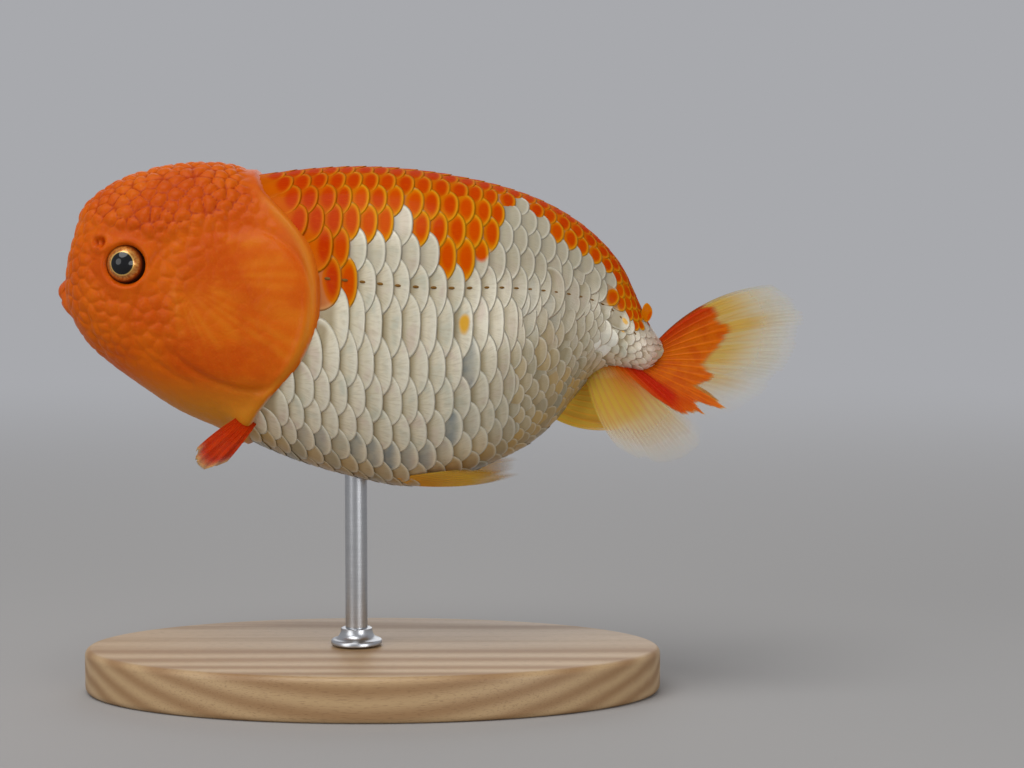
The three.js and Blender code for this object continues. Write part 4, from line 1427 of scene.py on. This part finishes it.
print("a tail half is", SAMPLES_ALONG, "points long")

# %% [markdown]
# ## The fins as pieces
# A single layer of faces would have no thickness, and a modifier that thickens it would not know the
# rays. So each fin is a closed sheet: a front, a back, and a thin strip round its border. On the map
# for baking the front and the back lie side by side. A table lists the four fins of one side, and a
# loop makes them for both.


# %% Build the fins
def fin_piece(name, fan, side, ray_count, paint, wave, nodes, inside):
    """One fin as a closed sheet with a front, a back and a thin edge."""
    uneven = rng.normal(size=ray_count)
    middle, half, across, along, ray, jag = fin_sheet(fan, side, ray_count, uneven, wave, inside)
    index = np.arange(across.size).reshape(across.shape)
    faces = grid_faces(*across.shape, closed=False)[0]
    border = np.concatenate([index[:-1, 0], index[-1, :-1], index[:0:-1, -1], index[0, :0:-1]])
    after = np.roll(border, -1)
    rim = np.stack([after, after + across.size, border + across.size, border], 1)
    flat = np.stack([along, across], -1).reshape(-1, 2)
    maps = [
        flat[faces] * [0.48, 0.98] + 0.01,
        flat[faces[:, ::-1]] * [0.48, 0.98] + [0.51, 0.01],
        np.tile([[0.0, 0.0], [0.004, 0.0], [0.004, 0.004], [0.0, 0.004]], (len(rim), 1, 1)),
    ]
    orange, red, yellow, solid, brown, ray = np.broadcast_arrays(*paint(across, along, jag), ray)
    make_piece(
        name, "fin", nodes, np.stack([middle + half, middle - half]).reshape(-1, 3),
        np.concatenate([faces, faces[:, ::-1] + across.size, rim]).tolist(), fin_finish,
        np.concatenate(maps).reshape(-1, 2),
        fin_paint=np.tile(np.stack([orange, red, yellow], -1).reshape(-1, 3), (2, 1)),
        fin_form=np.tile(np.stack([solid, ray, brown], -1).reshape(-1, 3), (2, 1)),
    )


FINS = [  # name, fan, number of rays, paint, wave in mm, depth of the root, solids
    ("tail", TAIL, 26, tail_paint, 0.4, ROOT_INSIDE, ("tail_fin_upper", "tail_fin_lower")),
    ("anal", ANAL, 9, anal_paint, 0.2, ROOT_INSIDE, ("anal_fin",)),
    ("pelvic", PELVIC, 10, pelvic_paint, 0.05, ROOT_INSIDE, ("pelvic_fin",)),
    ("pectoral", PECTORAL, 12, pectoral_paint, 0.3, DEEP_ROOT, ("pectoral_fin",)),
]
SIDES = {"left": -1, "right": 1}
for word, side in SIDES.items():
    for name, fan, ray_count, paint, wave, inside, solids in FINS:
        nodes = [f"{node}_{word}" for node in solids]
        fin_piece(f"{name}_{word}", fan, side, ray_count, paint, wave, nodes, inside)

# %% [markdown]
# ## Eyes
# Museum makers set glass eyes into their models: a globe with a painted iris behind a clear front.
# The clear front could be a shell of its own, but a clear coat on one globe gives the same wet shine
# with nothing to go wrong. The iris and pupil are painted by the angle from the eye's axis, which the
# globe's points carry.

# %% Eye material
PUPIL, IRIS = 28 / 90, 51 / 90  # half angles, as shares of a quarter turn
eye_finish = Finish(
    "glass_eye", Roughness=0.3, Specular_IOR_Level=0.05, Coat_Weight=0.8, Coat_Roughness=0.02
)
off_axis, round_axis = eye_finish.carried("eye_place")[:2]
streaks = eye_finish.noise(eye_finish.joined(round_axis * 2, off_axis * 3.0, 3.0), 3.0, 3.0)
eye_finish.surface(
    Base_Color=eye_finish.layers(
        (176, 96, 26),
        (streaks.ramp(0.3, 0.7), (214, 150, 66)),
        (off_axis.ramp(PUPIL + 0.05, PUPIL + 0.01), (232, 190, 104)),
        (off_axis.ramp(IRIS - 0.1, IRIS), (104, 40, 12)),
        (off_axis.ramp(IRIS, IRIS + 0.04), (30, 18, 12)),
        (off_axis.ramp(PUPIL + 0.012, PUPIL - 0.012), (8, 8, 10)),
    ),
    Metallic=off_axis.ramp(PUPIL - 0.01, PUPIL + 0.02) * off_axis.ramp(0.62, 0.5) * 0.5,
)
eye_finish.report()

# %% [markdown]
# ## The eyes as pieces
# A live fish's eye leans a little forwards and up, and its front bulges. A plain sphere could be
# scaled and turned to that, but the bulge would spread over the whole globe. So an eye is a grid of
# rings round its axis, closed by a fan at each end, and a bell curve pushes only the front rings out.

# %% Eyes
EYE_ROWS, EYE_COLUMNS = 40, 64
CORNEA_RISE, CORNEA_HALF = 0.35, 34.0  # in mm and degrees
EYE_FORWARD, EYE_UP = math.radians(8), math.radians(4)

for word, side in SIDES.items():
    low, high = (np.array(corner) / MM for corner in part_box(f"eye_{word}"))
    centre = (low + high) / 2
    axis = unit(np.array([-math.sin(EYE_FORWARD), side, math.sin(EYE_UP)]))
    across = unit(np.cross(axis, [0, 0, 1]))
    upright = np.cross(across, axis)
    tilt = np.radians(np.linspace(2, 178, EYE_ROWS))[:, None, None]
    spin = np.linspace(0, 2 * np.pi, EYE_COLUMNS, endpoint=False)[None, :, None]
    way = np.cos(tilt) * axis + np.sin(tilt) * (np.cos(spin) * across + np.sin(spin) * upright)
    globe = centre + way * (EYE_RADIUS + CORNEA_RISE * hump(np.degrees(tilt), 0, CORNEA_HALF))
    tips = [centre + axis * (EYE_RADIUS + CORNEA_RISE), centre - axis * EYE_RADIUS]
    angles = np.concatenate(np.broadcast_arrays(np.degrees(tilt) / 90, spin, 0 * spin), -1).reshape(-1, 3)
    faces = grid_faces(EYE_ROWS, EYE_COLUMNS, closed=True)[0].tolist() + end_fans(EYE_ROWS, EYE_COLUMNS)
    make_piece(
        f"glass_eye_{word}", "eye", [f"eye_{word}"], np.vstack([globe.reshape(-1, 3), tips]), faces,
        eye_finish, eye_place=np.vstack([angles, [(0, 0, 0), (2, 0, 0)]]),
    )

# %% [markdown]
# ## Wood and steel
# Oiled maple has growth rings that a plank cuts through lengthwise, so a ring pattern is stretched
# along the board and bent by noise, with short dark pores over it. Straight stripes would be simpler,
# but the end of the board would give them away. Brushed steel is a mirror with fine scratches round
# it, which here vary its tone and its roughness.

# %% Stand materials
wood = Finish("oiled_maple")
place = wood.place()
board = wood.stretched(place, 0.06, 1.0, 1.0)
warp = wood.noise(board, 0.08, 3.0)
heart = wood.joined(0.0, warp * 14 - 20, warp * 9 + 46)
rings_place = wood.node("VectorMath", {"operation": "ADD"}, {0: board, 1: heart})
limits = {"Vector": rings_place, "Scale": 0.1, "Distortion": 1.0, "Detail": 2.0}
grain = wood.node("TexWave", {"wave_type": "RINGS", "rings_direction": "X"}, limits, "Fac")
pores = wood.noise(wood.stretched(place, 0.35, 4.0, 4.0), 1.6)
wood.surface(
    Base_Color=wood.layers(
        (190, 158, 116), (grain, (160, 124, 84)), (pores.ramp(0.52, 0.72, 0.0, 0.45), (124, 90, 56))
    ),
    Roughness=grain * 0.1 + 0.42,
    Normal=wood.bump(pores * 0.7 + grain * 0.3, 0.00008, 0.5),
)

steel = Finish("brushed_steel", Metallic=1.0)
brushing = steel.noise(steel.stretched(steel.place(), 0.3, 0.3, 5.0), 1.2, 1.0)
steel.surface(
    Base_Color=steel.layers((184, 186, 190), (brushing, (202, 204, 206))),
    Roughness=brushing.ramp(0.2, 0.8, 0.28, 0.34),
)
wood.report()

# %% [markdown]
# ## The stand
# A plain oval base of pale oiled wood carries a brushed steel rod, which goes up into the belly. A
# small collar covers the hole where the rod enters the wood. Bevelled cylinders would come close, but
# an oval one bevels unevenly. All three are turned or rounded shapes, so each is a profile swept
# round, finer than the solids but of the same size.

# %% Stand pieces
SWEEP_SIDES = 128
EDGE_ROUND, EDGE_STEPS = 1.2, 7
ROD_CHAMFER = 0.3
COLLAR_RIM, COLLAR_SHOULDER, COLLAR_NECK = 0.7, 0.95, 1.8  # rim and shoulder up, neck in from the rim
COLLAR_BEVEL, COLLAR_STEP, COLLAR_INSIDE = 0.15, 0.3, 2.58
CRISP_FROM = math.radians(40)


def swept(node, slot, finish, make_profile):
    """A profile of (offset from the solid's rim, height) swept round the solid's oval."""
    low, high = (np.array(corner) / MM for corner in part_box(node))
    (half_x, half_y), centre_x = (high - low)[:2] / 2, (low[0] + high[0]) / 2
    angle = np.linspace(0, 2 * np.pi, SWEEP_SIDES, endpoint=False)
    rings = []
    for out, z in make_profile(low[2], high[2]):
        x, y = centre_x + (half_x + out) * np.cos(angle), (half_y + out) * np.sin(angle)
        rings.append(np.stack([x, y, 0 * angle + z], -1))
    faces = grid_faces(len(rings), SWEEP_SIDES, closed=True)[0][:, ::-1].tolist()
    faces += end_rings(len(rings), SWEEP_SIDES)
    piece = make_piece(f"{node}_finished", slot, [node], np.concatenate(rings), faces, finish)
    piece.modifiers.new("crisp edges", "EDGE_SPLIT").split_angle = CRISP_FROM


quarter = np.linspace(0, np.pi / 2, EDGE_STEPS)
early, late = 1 - np.cos(quarter), np.sin(quarter)  # a quarter circle's rise and run


def base_profile(foot, top):
    inwards = EDGE_ROUND * (late - 1)
    return [*zip(inwards, foot + EDGE_ROUND * early), *zip(-EDGE_ROUND * early, top + inwards)]


def rod_profile(foot, top):
    return [(0, foot), (0, top - ROD_CHAMFER), (-ROD_CHAMFER, top)]


def collar_profile(foot, top):
    """A rim, a small step, a hollow shoulder and a flat top that ends inside the rod."""
    rim = [(-COLLAR_BEVEL, foot), (0, foot + COLLAR_BEVEL), (0, foot + COLLAR_RIM)]
    rim.append((-0.8 * COLLAR_BEVEL, foot + COLLAR_RIM + COLLAR_BEVEL))
    start = foot + COLLAR_SHOULDER
    shoulder = zip(-COLLAR_STEP - (COLLAR_NECK - COLLAR_STEP) * late, start + (top - start - 0.1) * early)
    return [*rim, *shoulder, (-COLLAR_NECK - COLLAR_BEVEL, top), (-COLLAR_INSIDE, top)]


swept("stand_base", "stand_wood", wood, base_profile)
swept("stand_rod", "stand_steel", steel, rod_profile)
swept("stand_collar", "stand_steel", steel, collar_profile)

# %% [markdown] ## The end
# The finished model may stand only a little proud of the solids.
